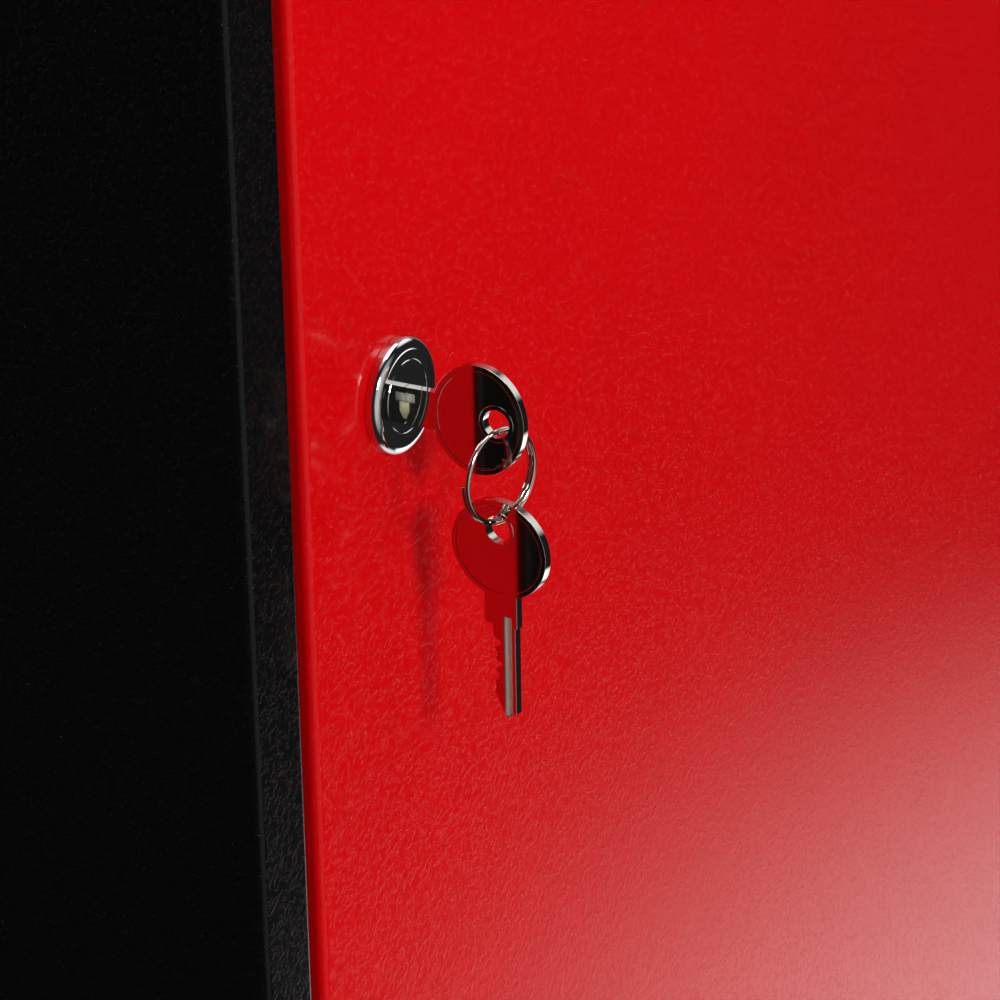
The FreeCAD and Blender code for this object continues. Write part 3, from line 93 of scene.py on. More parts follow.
class Graph:
    """Builds one material's node tree around a Principled shader."""

    def __init__(self, name: str) -> None:
        """Start a material with a shader, an output and Object coordinates.

        Args:
            name: The material's name.
        """
        self.material = bpy.data.materials.new(name)
        self.material.use_nodes = True
        self.tree = self.material.node_tree
        self.tree.nodes.clear()
        self.shader = self.add("ShaderNodeBsdfPrincipled")
        output = self.add("ShaderNodeOutputMaterial")
        self.join(self.shader.outputs["BSDF"], output.inputs["Surface"])
        self.place = self.add("ShaderNodeTexCoord").outputs["Object"]

    def add(self, kind: str, **sockets: float | Triple) -> bpy.types.Node:
        """Add a node and set its sockets.

        Args:
            kind: The node's Blender type.
            **sockets: Values by socket name, with _ for a space.

        Returns:
            The new node.
        """
        made = self.tree.nodes.new(kind)
        for name, number in sockets.items():
            made.inputs[name.replace("_", " ")].default_value = number
        return made

    def join(self, source: Socket, target: Socket) -> None:
        """Link one socket to another."""
        self.tree.links.new(source, target)

    def feed(self, socket: str, source: Socket) -> None:
        """Link a pattern to one of the shader's sockets."""
        self.join(source, self.shader.inputs[socket])

    def set(self, **sockets: float) -> None:
        """Set constants on the shader's own sockets."""
        for name, number in sockets.items():
            self.shader.inputs[name.replace("_", " ")].default_value = number

    def stretched(self, scale: Triple) -> Socket:
        """Give Object coordinates scaled along each axis.

        Args:
            scale: The factor for each axis.

        Returns:
            The scaled coordinates.
        """
        mapping = self.add("ShaderNodeMapping", Scale=scale)
        self.join(self.place, mapping.inputs["Vector"])
        return mapping.outputs["Vector"]

    def noise(self, size: float, detail: float = 2.0, roughness: float = 0.5,
              distortion: float = 0.0, where: Socket | None = None) -> Socket:
        """Add a noise pattern.

        Args:
            size: The width of one blotch in metres.
            detail: How many finer layers it has.
            roughness: How strong the finer layers are.
            distortion: How much it is wrung out of shape.
            where: Coordinates, or None for Object coordinates.

        Returns:
            The pattern's value.
        """
        made = self.add("ShaderNodeTexNoise", Scale=1.0 / size, Detail=detail,
                        Roughness=roughness, Distortion=distortion)
        self.join(where or self.place, made.inputs["Vector"])
        return made.outputs["Fac"]

    def ramp(self, source: Socket, stops: Sequence[Pair]) -> Socket:
        """Bend a value along a curve.

        Args:
            source: The value from 0 to 1.
            stops: The curve's points, as pairs of value and level.

        Returns:
            The level.
        """
        made = self.add("ShaderNodeFloatCurve")
        curve = made.mapping.curves[0]
        curve.points[0].location = stops[0]
        curve.points[-1].location = stops[-1]
        for place, level in stops[1:-1]:
            curve.points.new(place, level)
        made.mapping.update()
        self.join(source, made.inputs["Value"])
        return made.outputs["Value"]

    def blend(self, amount: Socket, low: Colour, high: Colour) -> Socket:
        """Mix two colours by a value.

        Args:
            amount: The share of the second colour.
            low: The first colour.
            high: The second colour.

        Returns:
            The mixed colour.
        """
        made = self.add("ShaderNodeMix")
        made.data_type = "RGBA"
        made.inputs[MIX_LOW].default_value = (*low, 1.0)
        made.inputs[MIX_HIGH].default_value = (*high, 1.0)
        self.join(amount, made.inputs["Factor"])
        return made.outputs[MIX_RESULT]

    def between(self, amount: Socket, low: float, high: float) -> Socket:
        """Spread a value from 0..1 over low..high.

        Args:
            amount: The value.
            low: Result at 0.
            high: Result at 1.

        Returns:
            The spread value.
        """
        made = self.add("ShaderNodeMapRange", To_Min=low, To_Max=high)
        self.join(amount, made.inputs["Value"])
        return made.outputs["Result"]

    def bump(self, height: Socket, depth: float, strength: float = 1.0,
             under: Socket | None = None) -> Socket:
        """Add relief from a height.

        Args:
            height: The height from 0 to 1.
            depth: What 1 means, in metres.
            strength: How much of it shows.
            under: A coarser relief below it.

        Returns:
            The new normal.
        """
        made = self.add("ShaderNodeBump", Distance=depth, Strength=strength)
        self.join(height, made.inputs["Height"])
        if under is not None:
            self.join(under, made.inputs["Normal"])
        return made.outputs["Normal"]


@dataclass(frozen=True)
class PowderCoat:
    """Baked textured enamel: a smooth coat under a wrinkled clear film."""

    name: str
    colour: Colour
    shade: Colour
    gloss: float
    film: float
    patch: float = 90 * MM
    wrinkle: float = 1.5 * MM
    ridges: tuple[Pair, ...] = ((0.0, 0.0), (0.52, 0.03), (0.58, 0.60), (0.66, 0.96), (1.0, 1.0))
    relief: float = 0.12 * MM
    sunk: float = 0.03
    ripple: float = 6 * MM
    ripple_relief: float = 0.05 * MM
    crease_haze: float = 0.02
    film_haze: float = 0.07

    def build(self) -> bpy.types.Material:
        """Make the enamel's material."""
        graph = Graph(self.name)
        broad = graph.noise(self.patch, detail=3.0)
        graph.feed("Base Color", graph.blend(broad, self.colour, self.shade))
        wander = graph.noise(self.wrinkle, roughness=0.55, distortion=0.9)
        crease = graph.ramp(wander, self.ridges)
        ripple = graph.bump(graph.noise(self.ripple), self.ripple_relief, strength=0.2)
        graph.feed("Normal", graph.bump(crease, self.relief * self.sunk, under=ripple))
        graph.feed("Coat Normal", graph.bump(crease, self.relief, under=ripple))
        graph.feed("Roughness", graph.between(crease, self.gloss + self.crease_haze, self.gloss))
        graph.set(Specular_IOR_Level=0.12, IOR=1.5, Coat_Weight=self.film,
                  Coat_Roughness=self.film_haze, Coat_IOR=1.5)
        return graph.material


@dataclass(frozen=True)
class BrightPlate:
    """Polished plating with faint wipe marks."""

    name: str
    colour: Colour
    tint: Colour
    gloss: float
    haze: float
    cloud: float = 7 * MM
    wipe: float = 0.6 * MM
    wiped_along: Triple = (1.0, 0.25, 0.12)
    scratch: float = 0.002 * MM

    def build(self) -> bpy.types.Material:
        """Make the plating's material."""
        graph = Graph(self.name)
        cloud = graph.noise(self.cloud, detail=4.0, roughness=0.6)
        graph.feed("Base Color", graph.blend(cloud, self.colour, self.tint))
        wipe = graph.noise(self.wipe, detail=3.0, roughness=0.6, distortion=0.2,
                           where=graph.stretched(self.wiped_along))
        graph.feed("Roughness", graph.between(wipe, self.gloss, self.haze))
        graph.feed("Normal", graph.bump(wipe, self.scratch, strength=0.25))
        graph.set(Metallic=1.0)
        return graph.material


@dataclass(frozen=True)
class MilledPlate:
    """Plating left rough by a cutter that ran along the blank."""

    name: str
    colour: Colour
    tint: Colour
    score: float = 0.35 * MM
    scored_along: Triple = (1.0, 1.0, 0.55)
    depth: float = 0.06 * MM
    dullness: Pair = (0.45, 0.62)

    def build(self) -> bpy.types.Material:
        """Make the milled surface's material."""
        graph = Graph(self.name)
        score = graph.noise(self.score, detail=3.0, roughness=0.6, distortion=0.3,
                            where=graph.stretched(self.scored_along))
        graph.feed("Base Color", graph.blend(score, self.colour, self.tint))
        graph.feed("Roughness", graph.between(score, *self.dullness))
        graph.feed("Normal", graph.bump(score, self.depth, strength=0.9))
        graph.set(Metallic=0.3)
        return graph.material


@dataclass(frozen=True)
class ZincPlate:
    """Bright zinc over pressed steel, with a dull bloom."""

    name: str
    colour: Colour
    bloom: Colour
    patch: float = 12 * MM
    grain: float = 0.5 * MM
    drawn_along: Triple = (1.0, 1.0, 0.2)
    depth: float = 0.008 * MM
    dullness: Pair = (0.24, 0.46)

    def build(self) -> bpy.types.Material:
        """Make the zinc's material."""
        graph = Graph(self.name)
        bloom = graph.noise(self.patch, detail=5.0, roughness=0.65, distortion=0.4)
        graph.feed("Base Color", graph.blend(bloom, self.colour, self.bloom))
        grain = graph.noise(self.grain, detail=3.0, roughness=0.6,
                            where=graph.stretched(self.drawn_along))
        graph.feed("Roughness", graph.between(bloom, *self.dullness))
        graph.feed("Normal", graph.bump(grain, self.depth, strength=0.4))
        graph.set(Metallic=1.0)
        return graph.material


@dataclass(frozen=True)
class Moulded:
    """Rubber or plastic with a fine moulded grain and a little dust."""

    name: str
    colour: Colour
    dust: Colour
    dullness: float
    grain: float = 0.7 * MM
    relief: float = 0.03 * MM
    patch: float = 22 * MM
    dusting: tuple[Pair, ...] = ((0.0, 0.0), (0.5, 0.15), (1.0, 0.8))
    spread: float = 0.1

    def build(self) -> bpy.types.Material:
        """Make the moulded material."""
        graph = Graph(self.name)
        dusty = graph.noise(self.patch, detail=4.0, roughness=0.6)
        cover = graph.ramp(dusty, self.dusting)
        graph.feed("Base Color", graph.blend(cover, self.colour, self.dust))
        graph.feed("Normal", graph.bump(graph.noise(self.grain), self.relief, strength=0.6))
        graph.feed("Roughness", graph.between(dusty, self.dullness - self.spread,
                                              self.dullness + self.spread))
        graph.set(Specular_IOR_Level=0.4)
        return graph.material


FINISHES = {
    Slot.RED: PowderCoat("red_textured_enamel", (0.64, 0.0006, 0.0022), (0.55, 0.0005, 0.0020),
                         gloss=0.09, film=0.22),
    Slot.BLACK: PowderCoat("black_textured_enamel", (0.0027, 0.0027, 0.0028),
                           (0.0033, 0.0033, 0.0035), gloss=0.10, film=0.14, relief=0.15 * MM),
    Slot.ZINC: ZincPlate("zinc_plated_steel", (0.66, 0.67, 0.68), (0.47, 0.48, 0.50)),
    Slot.CHROME: BrightPlate("bright_chrome", (0.80, 0.81, 0.82), (0.70, 0.71, 0.73),
                             gloss=0.03, haze=0.09),
    Slot.NICKEL: BrightPlate("bright_nickel", (0.60, 0.575, 0.52), (0.50, 0.48, 0.43),
                             gloss=0.035, haze=0.10),
    Slot.BRASS: BrightPlate("worn_brass", (0.86, 0.80, 0.55), (0.70, 0.62, 0.36),
                            gloss=0.42, haze=0.60),
    Slot.RUBBER: Moulded("ribbed_rubber", (0.014, 0.014, 0.015), (0.05, 0.05, 0.048),
                         dullness=0.72),
    Slot.TYRE: Moulded("grey_tyre_rubber", (0.060, 0.061, 0.064), (0.13, 0.13, 0.125),
                       dullness=0.66, grain=1.1 * MM, relief=0.05 * MM),
    Slot.PLASTIC: Moulded("moulded_plastic", (0.012, 0.012, 0.013), (0.03, 0.03, 0.03),
                          dullness=0.42, grain=0.5 * MM, relief=0.02 * MM),
}
MILLED_NICKEL = MilledPlate("milled_nickel", (0.88, 0.86, 0.78), (0.62, 0.60, 0.52))


class Workshop:
    """Holds the finished materials and turns shapes into riding pieces."""

    def __init__(self) -> None:
        """Make every finish once."""
        self.materials = {slot: finish.build() for slot, finish in FINISHES.items()}
        self.milled = MILLED_NICKEL.build()

    def dress_frame(self) -> None:
        """Give each carried-over node the finish of its slot."""
        slots = {part["node"]: part["material_slot"] for part in frame["record"]["subparts"]}
        for name, thing in frame["nodes"].items():
            thing.data.materials.clear()
            thing.data.materials.append(self.materials[Slot(slots[name])])
        log.info("dressed %d nodes", len(frame["nodes"]))

    def piece(self, name: str, shape: Shape, body: str, slot: Slot,
              stands_for: Iterable[str] = (), crease: float = 32.0) -> bpy.types.Object:
        """Make a finished piece that rides on a body.

        Args:
            name: The piece's name.
            shape: Its shape in place, in metres.
            body: The body it rides on.
            slot: The slot of its finish.
            stands_for: Nodes it replaces.
            crease: Faces that meet at a larger angle in degrees stay sharp.

        Returns:
            The piece.
        """
        bmesh.ops.remove_doubles(shape, verts=shape.verts[:], dist=WELD)
        bmesh.ops.recalc_face_normals(shape, faces=shape.faces[:])
        mesh = bpy.data.meshes.new(name)
        shape.to_mesh(mesh)
        shape.free()
        mesh.shade_smooth()
        mesh.set_sharp_from_angle(angle=math.radians(crease))
        mesh.materials.append(self.materials[slot])
        if slot is Slot.NICKEL:
            mesh.materials.append(self.milled)
        thing = bpy.data.objects.new(name, mesh)
        bpy.context.scene.collection.objects.link(thing)
        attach(thing, body)
        if stands_for:
            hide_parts(*stands_for)
        log.info("%s rides on %s, %d faces", name, body, len(mesh.polygons))
        return thing


def only(made: dict[str, list], kind: type) -> list:
    """Pick one kind of element out of what an operator made."""
    return [item for item in made["geom"] if isinstance(item, kind)]


def everything(shape: Shape) -> list:
    """List a mesh's corners, edges and faces."""
    return shape.verts[:] + shape.edges[:] + shape.faces[:]


def arc(first: float, last: float, steps: int) -> list[Pair]:
    """Give cosine and sine at even steps from one angle to another, in degrees."""
    angles = (math.radians(first + (last - first) * step / steps) for step in range(steps + 1))
    return [(math.cos(angle), math.sin(angle)) for angle in angles]


def ring_of_edges(shape: Shape, corners: Sequence[Vert]) -> list[Edge]:
    """Join corners in a closed ring."""
    return [shape.edges.new((a, b)) for a, b in zip(corners, corners[1:] + corners[:1])]


def lathe(shape: Shape, profile: Sequence[Pair], place: Matrix, steps: int) -> None:
    """Spin a closed profile about the local Y axis.

    Args:
        shape: The mesh that gets the ring.
        profile: Radius and Y of each corner, in order, in millimetres.
        place: Where the ring goes.
        steps: How many steps a turn has.
    """
    corners = [shape.verts.new((radius * MM, along * MM, 0.0)) for radius, along in profile]
    sides = ring_of_edges(shape, corners)
    bmesh.ops.spin(shape, geom=corners + sides, cent=(0, 0, 0), axis=(0, 1, 0), dvec=(0, 0, 0),
                   angle=math.tau, steps=steps, use_merge=True, use_duplicate=False)
    fresh = set(corners) | {vert for vert in shape.verts if not vert.tag}
    bmesh.ops.transform(shape, matrix=place, verts=list(fresh))
    for vert in shape.verts:
        vert.tag = True


def loop_of(shape: Shape, points: Sequence[Pair], depth: float) -> list[Edge]:
    """Draw a closed outline in the plane that faces local X.

    Args:
        shape: The mesh that gets the outline.
        points: Y and Z of each corner, in millimetres.
        depth: The plane's X in millimetres.

    Returns:
        The outline's edges.
    """
    return ring_of_edges(shape, [shape.verts.new((depth * MM, y * MM, z * MM))
                                 for y, z in points])


def circle_points(across: float, up: float, radius: float, count: int,
                  rise: float | None = None) -> list[Pair]:
    """Give points round a circle, or round an oval.

    Args:
        across: The centre's first coordinate.
        up: The centre's second coordinate.
        radius: The radius, or an oval's half width.
        count: How many points.
        rise: An oval's half height.

    Returns:
        The points in order.
    """
    return [(across + radius * math.cos(math.tau * k / count),
             up + (rise or radius) * math.sin(math.tau * k / count)) for k in range(count)]


def fill(shape: Shape, *outlines: Sequence[Edge]) -> list[Face]:
    """Fill the flat region between outlines and give its faces."""
    edges = [edge for outline in outlines for edge in outline]
    return only(bmesh.ops.triangle_fill(shape, use_beauty=True, use_dissolve=False,
                                        edges=edges), Face)


def push(shape: Shape, faces: Sequence[Face], depth: float) -> list[Vert]:
    """Extrude a region and move it along local X, to raise or sink it.

    Args:
        shape: The mesh.
        faces: The region.
        depth: How far it goes, in millimetres.

    Returns:
        The moved corners.
    """
    made = bmesh.ops.extrude_face_region(shape, geom=list(faces))
    corners = only(made, Vert)
    bmesh.ops.translate(shape, vec=(depth * MM, 0, 0), verts=corners)
    bmesh.ops.delete(shape, geom=[face for face in faces if face.is_valid], context="FACES_ONLY")
    return corners


def draw_out(shape: Shape, edges: Sequence[Edge], depth: float
             ) -> tuple[list[Edge], list[Vert]]:
    """Extrude an outline into a wall along local X.

    Args:
        shape: The mesh.
        edges: The outline.
        depth: How far it goes, in millimetres.

    Returns:
        The far outline's edges and its corners.
    """
    made = bmesh.ops.extrude_edge_only(shape, edges=edges)
    corners = only(made, Vert)
    bmesh.ops.translate(shape, vec=(depth * MM, 0, 0), verts=corners)
    return only(made, Edge), corners


def soften(shape: Shape, edges: Iterable[Edge], width: float) -> None:
    """Round edges over a width in millimetres."""
    bmesh.ops.bevel(shape, geom=list(edges), offset=width * MM, offset_type="OFFSET", segments=2,
                    profile=0.5, affect="EDGES", clamp_overlap=True, material=-1)


@dataclass
class KeyBlank:
    """A flat key with a round bow, in its own frame: +Y to the tip, +Z its spine."""

    sheet: float = 2.0
    bow_radius: float = 10.9
    bow_across: float = 11.95
    bow_middle: float = -17.1
    bow_drop: float = 2.05
    neck_top: float = 2.4
    neck_bottom: float = 5.9
    neck_chamfer: float = 0.3
    blade_top: float = 1.9
    blade_bottom: float = 3.8
    blade_length: float = 21.0
    tip_length: float = 2.6
    hole_offset: float = 4.5
    hole_radius: float = 3.05
    collar_radius: float = 4.0
    collar_height: float = 0.15
    hole_steps: int = 56
    line_inset: float = 1.1
    line_width: float = 0.3
    line_depth: float = 0.12
    line_steps: int = 96
    edge_round: float = 0.16
    blade_zone: float = -6.0
    groove_start: float = -2.2
    groove_top: float = 1.0
    groove_bottom: float = -0.9
    groove_depth: float = 0.5
    cut_shares: tuple[float, ...] = (0.34, 0.17, 0.40, 0.24, 0.10)
    cut_start: float = 4.2
    cut_pitch: float = 2.5
    cut_flat: float = 0.9
    arc_steps: int = 110

    def outline(self) -> list[Pair]:
        """Give the blank's outline with its cuts, counter-clockwise from the bow.

        Returns:
            Y and Z of each corner in millimetres.
        """
        blade = self.blade_top + self.blade_bottom
        wall = (self.cut_pitch - self.cut_flat) / 2
        peak = min(self.cut_shares) * blade / 2 - self.blade_bottom
        start = math.asin((self.neck_top + self.bow_drop) / self.bow_across)
        end = math.tau - math.asin((self.neck_bottom - self.bow_drop) / self.bow_across)
        points = [(self.bow_middle + self.bow_radius * along,
                   self.bow_across * up - self.bow_drop)
                  for along, up in arc(math.degrees(start), math.degrees(end), self.arc_steps)]
        points += [(-self.neck_chamfer, -self.neck_bottom),
                   (0.0, self.neck_chamfer - self.neck_bottom), (0.0, -self.blade_bottom),
                   (self.cut_start - self.cut_flat / 2 - wall, -self.blade_bottom)]
        for index, share in enumerate(self.cut_shares):
            middle = self.cut_start + index * self.cut_pitch
            floor = share * blade - self.blade_bottom
            points += [(middle - self.cut_flat / 2, floor), (middle + self.cut_flat / 2, floor),
                       (middle + self.cut_flat / 2 + wall, peak)]
        points += [
            (self.blade_length - self.tip_length,
             self.tip_length - self.blade_bottom - self.blade_top / 2),
            (self.blade_length, self.tip_length / 2 - self.blade_top),
            (self.blade_length - self.tip_length / 2, self.blade_top),
            (0.0, self.blade_top), (0.0, self.neck_top)]
        return points

    def face(self, shape: Shape) -> None:
        """Make one broad face with its line, collar and hole in an empty mesh."""
        near = -self.sheet / 2
        middle, drop = self.bow_middle, -self.bow_drop
        hole = middle - self.hole_offset
        outer = loop_of(shape, self.outline(), near)
        line_out, line_in = (
            loop_of(shape, circle_points(middle, drop, self.bow_radius - inset, self.line_steps,
                                         self.bow_across - inset), near)
            for inset in (self.line_inset, self.line_inset + self.line_width))
        collar, inner = (
            loop_of(shape, circle_points(hole, drop, radius, self.hole_steps), near)
            for radius in (self.collar_radius, self.hole_radius))
        fill(shape, outer, line_out)
        engraved = fill(shape, line_out, line_in)
        fill(shape, line_in, collar)
        raised = fill(shape, collar, inner)
        push(shape, engraved, self.line_depth)
        push(shape, raised, -self.collar_height)

    def mill(self, shape: Shape) -> None:
        """Cut the long groove into the near face of the blade."""
        for spot, normal in (((self.groove_start, 0), (1, 0)), ((0, self.groove_top), (0, 1)),
                             ((0, self.groove_bottom), (0, 1))):
            faces = [face for face in shape.faces if abs(face.normal.x) > FLAT
                     and face.calc_center_median().y > self.blade_zone * MM]
            geom = {*faces, *(e for f in faces for e in f.edges),
                    *(v for f in faces for v in f.verts)}
            bmesh.ops.bisect_plane(shape, geom=list(geom), dist=HAIR,
                                   plane_co=(0, *(n * MM for n in spot)), plane_no=(0, *normal))
        shape.normal_update()
        groove = []
        for face in shape.faces:
            centre = face.calc_center_median() / MM
            if (abs(face.normal.x) > FLAT and self.groove_start < centre.y < self.blade_length
                    and self.groove_bottom < centre.z < self.groove_top):
                groove.append(face)
        corners = set(push(shape, groove, self.groove_depth))
        for face in shape.faces:
            if all(vert in corners for vert in face.verts):
                face.material_index = 1

    def long_edges(self, shape: Shape) -> list[Edge]:
        """Find the sharp edges where the rim meets the key's two broad faces.

        Args:
            shape: The closed key in its own frame.

        Returns:
            The edges.
        """
        sharp, skew, outside = math.radians(60), 0.2, 0.99 * self.sheet / 2 * MM
        return [edge for edge in shape.edges
                if len(edge.link_faces) == 2 and edge.calc_face_angle(0.0) > sharp
                and abs(sum(abs(face.normal.x) for face in edge.link_faces) - 1.0) < skew
                and max(abs(vert.co.x) for vert in edge.verts) > outside]

    def make(self) -> Shape:
        """Make the whole key.

        Returns:
            The closed shape in the key's own frame.
        """
        shape = bmesh.new()
        self.face(shape)
        self.mill(shape)
        shape.normal_update()
        far = only(bmesh.ops.duplicate(shape, geom=everything(shape)), Vert)
        bmesh.ops.scale(shape, vec=(-1, 1, 1), verts=far)
        hub = Vector((self.bow_middle - self.hole_offset, -self.bow_drop)) * MM
        bare = [edge for edge in shape.edges if edge.is_boundary]
        rim = [edge for edge in bare
               if all((vert.co.yz - hub).length < self.collar_radius * MM
                      for vert in edge.verts)]
        bmesh.ops.bridge_loops(shape, edges=rim)
        bmesh.ops.bridge_loops(shape, edges=list(set(bare) - set(rim)))
        bmesh.ops.recalc_face_normals(shape, faces=shape.faces[:])
        shape.normal_update()
        soften(shape, self.long_edges(shape), self.edge_round)
        return shape


@dataclass
class Lock:
    """The cam lock in the door: front ring, threaded body and turning plug."""

    centre: Triple = (-239.95, -207.5, 523.5)
    ring_radius: float = 12.5
    ring_height: float = 3.0
    ring_steps: int = 128
    face_drop: float = 0.12
    rim_inside: float = 2.4
    rim_across: float = 2.0
    rim_rise: float = 1.5
    rim_sweep: float = 108.0
    rim_steps: int = 16
    back_chamfer: Pair = (0.15, 0.25)
    bore: float = 7.8
    bore_chamfer: Pair = (0.12, 0.10)
    barrel_radius: float = 9.0
    barrel_length: float = 23.0
    barrel_plain: float = 5.4
    thread_runout: float = 0.2
    thread_pitch: float = 1.0
    thread_depth: float = 0.45
    thread_crest: float = 0.7
    plug_radius: float = 7.74
    plug_sink: float = 0.15
    plug_chamfer: float = 0.12
    plug_steps: int = 96
    cam_front: float = 23.3
    square: float = 8.0
    square_length: float = 2.3
    keyway: tuple[float, float, float, float] = (-1.2, -4.15, 1.2, 2.15)
    keyway_corner: float = 0.9
    keyway_depth: float = 22.0
    cheek: tuple[Pair, ...] = ((2.6, -0.8), (1.25, -0.8), (1.25, -2.8), (1.25, -4.5),
                               (1.5, -4.3), (2.4, -2.6))
    cheek_sheet: float = 0.06
    leaf_side: float = 1.3
    leaf_foot: float = -3.5
    leaf_heights: Pair = (1.1, 0.25)

    def place(self) -> Matrix:
        """Give the lock's place in the cabinet's frame."""
        return Matrix.Translation(Vector(self.centre) * MM)

    def ring(self) -> Shape:
        """Spin the front ring and the threaded body.

        Returns:
            The shape in place.
        """
        top, edge, side = -self.ring_height, self.ring_radius, self.barrel_radius
        face, root = top + self.face_drop, side - self.thread_depth
        profile = [(self.bore, self.barrel_length), (self.bore, face + self.bore_chamfer[1]),
                   (self.bore + self.bore_chamfer[0], face), (edge - self.rim_inside, face)]
        profile += [(edge - self.rim_across * (1 - out), top + self.rim_rise * (1 - up))
                    for out, up in arc(self.rim_sweep, 0, self.rim_steps)]
        profile += [(edge, -self.back_chamfer[1]), (edge - self.back_chamfer[0], 0.0),
                    (side, 0.0), (side, self.barrel_plain)]
        along = self.barrel_plain + self.thread_runout
        while along < self.barrel_length - self.thread_pitch:
            profile += [(root, along + self.thread_pitch / 4),
                        (side, along + self.thread_pitch * self.thread_crest)]
            along += self.thread_pitch
        profile.append((root, self.barrel_length))
        shape = bmesh.new()
        lathe(shape, profile, self.place(), self.ring_steps)
        return shape

    def plug(self) -> Shape:
        """Make the turning plug with its keyway and square tail.

        Returns:
            The shape in place.
        """
        left, low, right, high = self.keyway
        cut, chamfer, half = self.keyway_corner, self.plug_chamfer, self.square / 2
        near, inside = self.plug_sink - self.ring_height, self.plug_radius - chamfer
        shape = bmesh.new()
        rim = loop_of(shape, circle_points(0, 0, inside, self.plug_steps), near)
        slot = loop_of(shape, [(left, low + cut), (left + cut, low), (right - cut, low),
                               (right, low + cut), (right, high), (left, high)], near)
        fill(shape, rim, slot)
        rim, corners = draw_out(shape, rim, chamfer)
        widen = self.plug_radius / inside
        bmesh.ops.scale(shape, vec=(1, widen, widen), verts=corners)
        back, _ = draw_out(shape, rim, self.cam_front - near - chamfer)
        tail = loop_of(shape, [(-half, -half), (half, -half), (half, half), (-half, half)],
                       self.cam_front)
        fill(shape, back, tail)
        for outline, depth in ((tail, self.square_length), (slot, self.keyway_depth)):
            end, _ = draw_out(shape, outline, depth)
            fill(shape, end)
        bmesh.ops.transform(shape, matrix=self.place() @ TO_DOOR, verts=shape.verts[:])
        return shape

    def guide(self) -> Shape:
        """Make the worn brass cheek beside the keyway, with its raised leaf.

        Returns:
            The shape in place.
        """
        shape = bmesh.new()
        cheek = fill(shape, loop_of(shape, self.cheek, 0.0))
        for vert in push(shape, cheek, -self.cheek_sheet):
            if vert.co.y < self.leaf_side * MM:
                upper, lower = self.leaf_heights
                vert.co.x -= (upper if vert.co.z > self.leaf_foot * MM else lower) * MM
        near = Matrix.Translation((0, (self.plug_sink - self.ring_height) * MM, 0))
        bmesh.ops.transform(shape, matrix=self.place() @ near @ TO_DOOR, verts=shape.verts[:])
        return shape

    def build(self, shop: Workshop) -> None:
        """Make the lock's bright pieces."""
        shop.piece("keyway_guide", self.guide(), "lock_cylinder", Slot.BRASS)
        shop.piece("lock_front_ring", self.ring(), "door", Slot.CHROME, ["lock_housing"],
                   crease=18.0)
        shop.piece("lock_turning_plug", self.plug(), "lock_cylinder", Slot.CHROME, ["lock_plug"])


@dataclass
class KeySet:
    """Two keys on a split ring, one of them in the lock."""

    blank: KeyBlank
    first: Triple = (-239.95, -210.45, 523.5)
    hole: Triple = (-239.95, -232.05, 498.05)
    hole_reach: float = 21.6
    spare_yaw: float = -6.0
    ring_top: float = 519.7
    ring_radius: float = 9.95
    wire: float = 0.55
    wire_sides: int = 16
    wire_end: float = 0.12
    squash: float = 0.96
    pitch: float = 1.05
    ring_yaw: float = 12.0
    turns: float = 1.78
    turn_steps: int = 84
    start: float = 262.0

    def spare_place(self) -> Matrix:
        """Give the hanging key's place.

        Returns:
            The matrix from the key's frame to the cabinet's frame.
        """
        turn = Matrix.Rotation(math.radians(self.spare_yaw), 4, "Z") @ TIP_DOWN
        back = turn @ Vector((0, 0, 1))
        spot = Vector(self.hole) - Vector((0, 0, self.hole_reach)) + back * self.blank.bow_drop
        return Matrix.Translation(spot * MM) @ turn

    def split_ring(self) -> Shape:
        """Wind the wire in a helix of nearly two turns.

        Returns:
            The shape in place.
        """
        steps = int(self.turn_steps * self.turns)
        shape = bmesh.new()
        bmesh.ops.create_circle(shape, cap_ends=False, segments=self.wire_sides,
                                radius=self.wire * MM)
        low = -self.pitch * self.turns / 2 * MM
        for vert in shape.verts:
            vert.co = Vector((self.ring_radius * MM + vert.co.x, 0, low + vert.co.y * self.squash))
        bmesh.ops.spin(shape, geom=shape.verts[:] + shape.edges[:], cent=(0, 0, 0), axis=(0, 0, 1),
                       dvec=(0, 0, self.pitch * self.turns / steps * MM),
                       angle=math.tau * self.turns, steps=steps, use_merge=False,
                       use_duplicate=False)
        bmesh.ops.holes_fill(shape, edges=[edge for edge in shape.edges if edge.is_boundary],
                             sides=self.wire_sides)
        caps = [face for face in shape.faces if len(face.verts) > 4]
        soften(shape, [edge for face in caps for edge in face.edges], self.wire_end)
        middle = Vector((self.hole[0], self.hole[1], self.ring_top - self.ring_radius)) * MM
        yaw, upright, start = (
            Matrix.Rotation(math.radians(angle), 4, axis)
            for angle, axis in ((-self.ring_yaw, "Z"), (-90, "X"), (self.start, "Z")))
        bmesh.ops.transform(shape, matrix=Matrix.Translation(middle) @ yaw @ upright @ start,
                            verts=shape.verts[:])
        return shape

    def build(self, shop: Workshop) -> None:
        """Make both keys and their ring."""
        for name, place, body, node in (
                ("first_key_blank", Matrix.Translation(Vector(self.first) * MM),
                 "first_key", "key_in_lock"),
                ("second_key_blank", self.spare_place(), "second_key", "spare_key")):
            shape = self.blank.make()
            bmesh.ops.transform(shape, matrix=place, verts=shape.verts[:])
            shop.piece(name, shape, body, Slot.NICKEL, [node], crease=14.0)
        shop.piece("split_ring_coil", self.split_ring(), "ring", Slot.NICKEL, ["split_ring"],
                   crease=50.0)


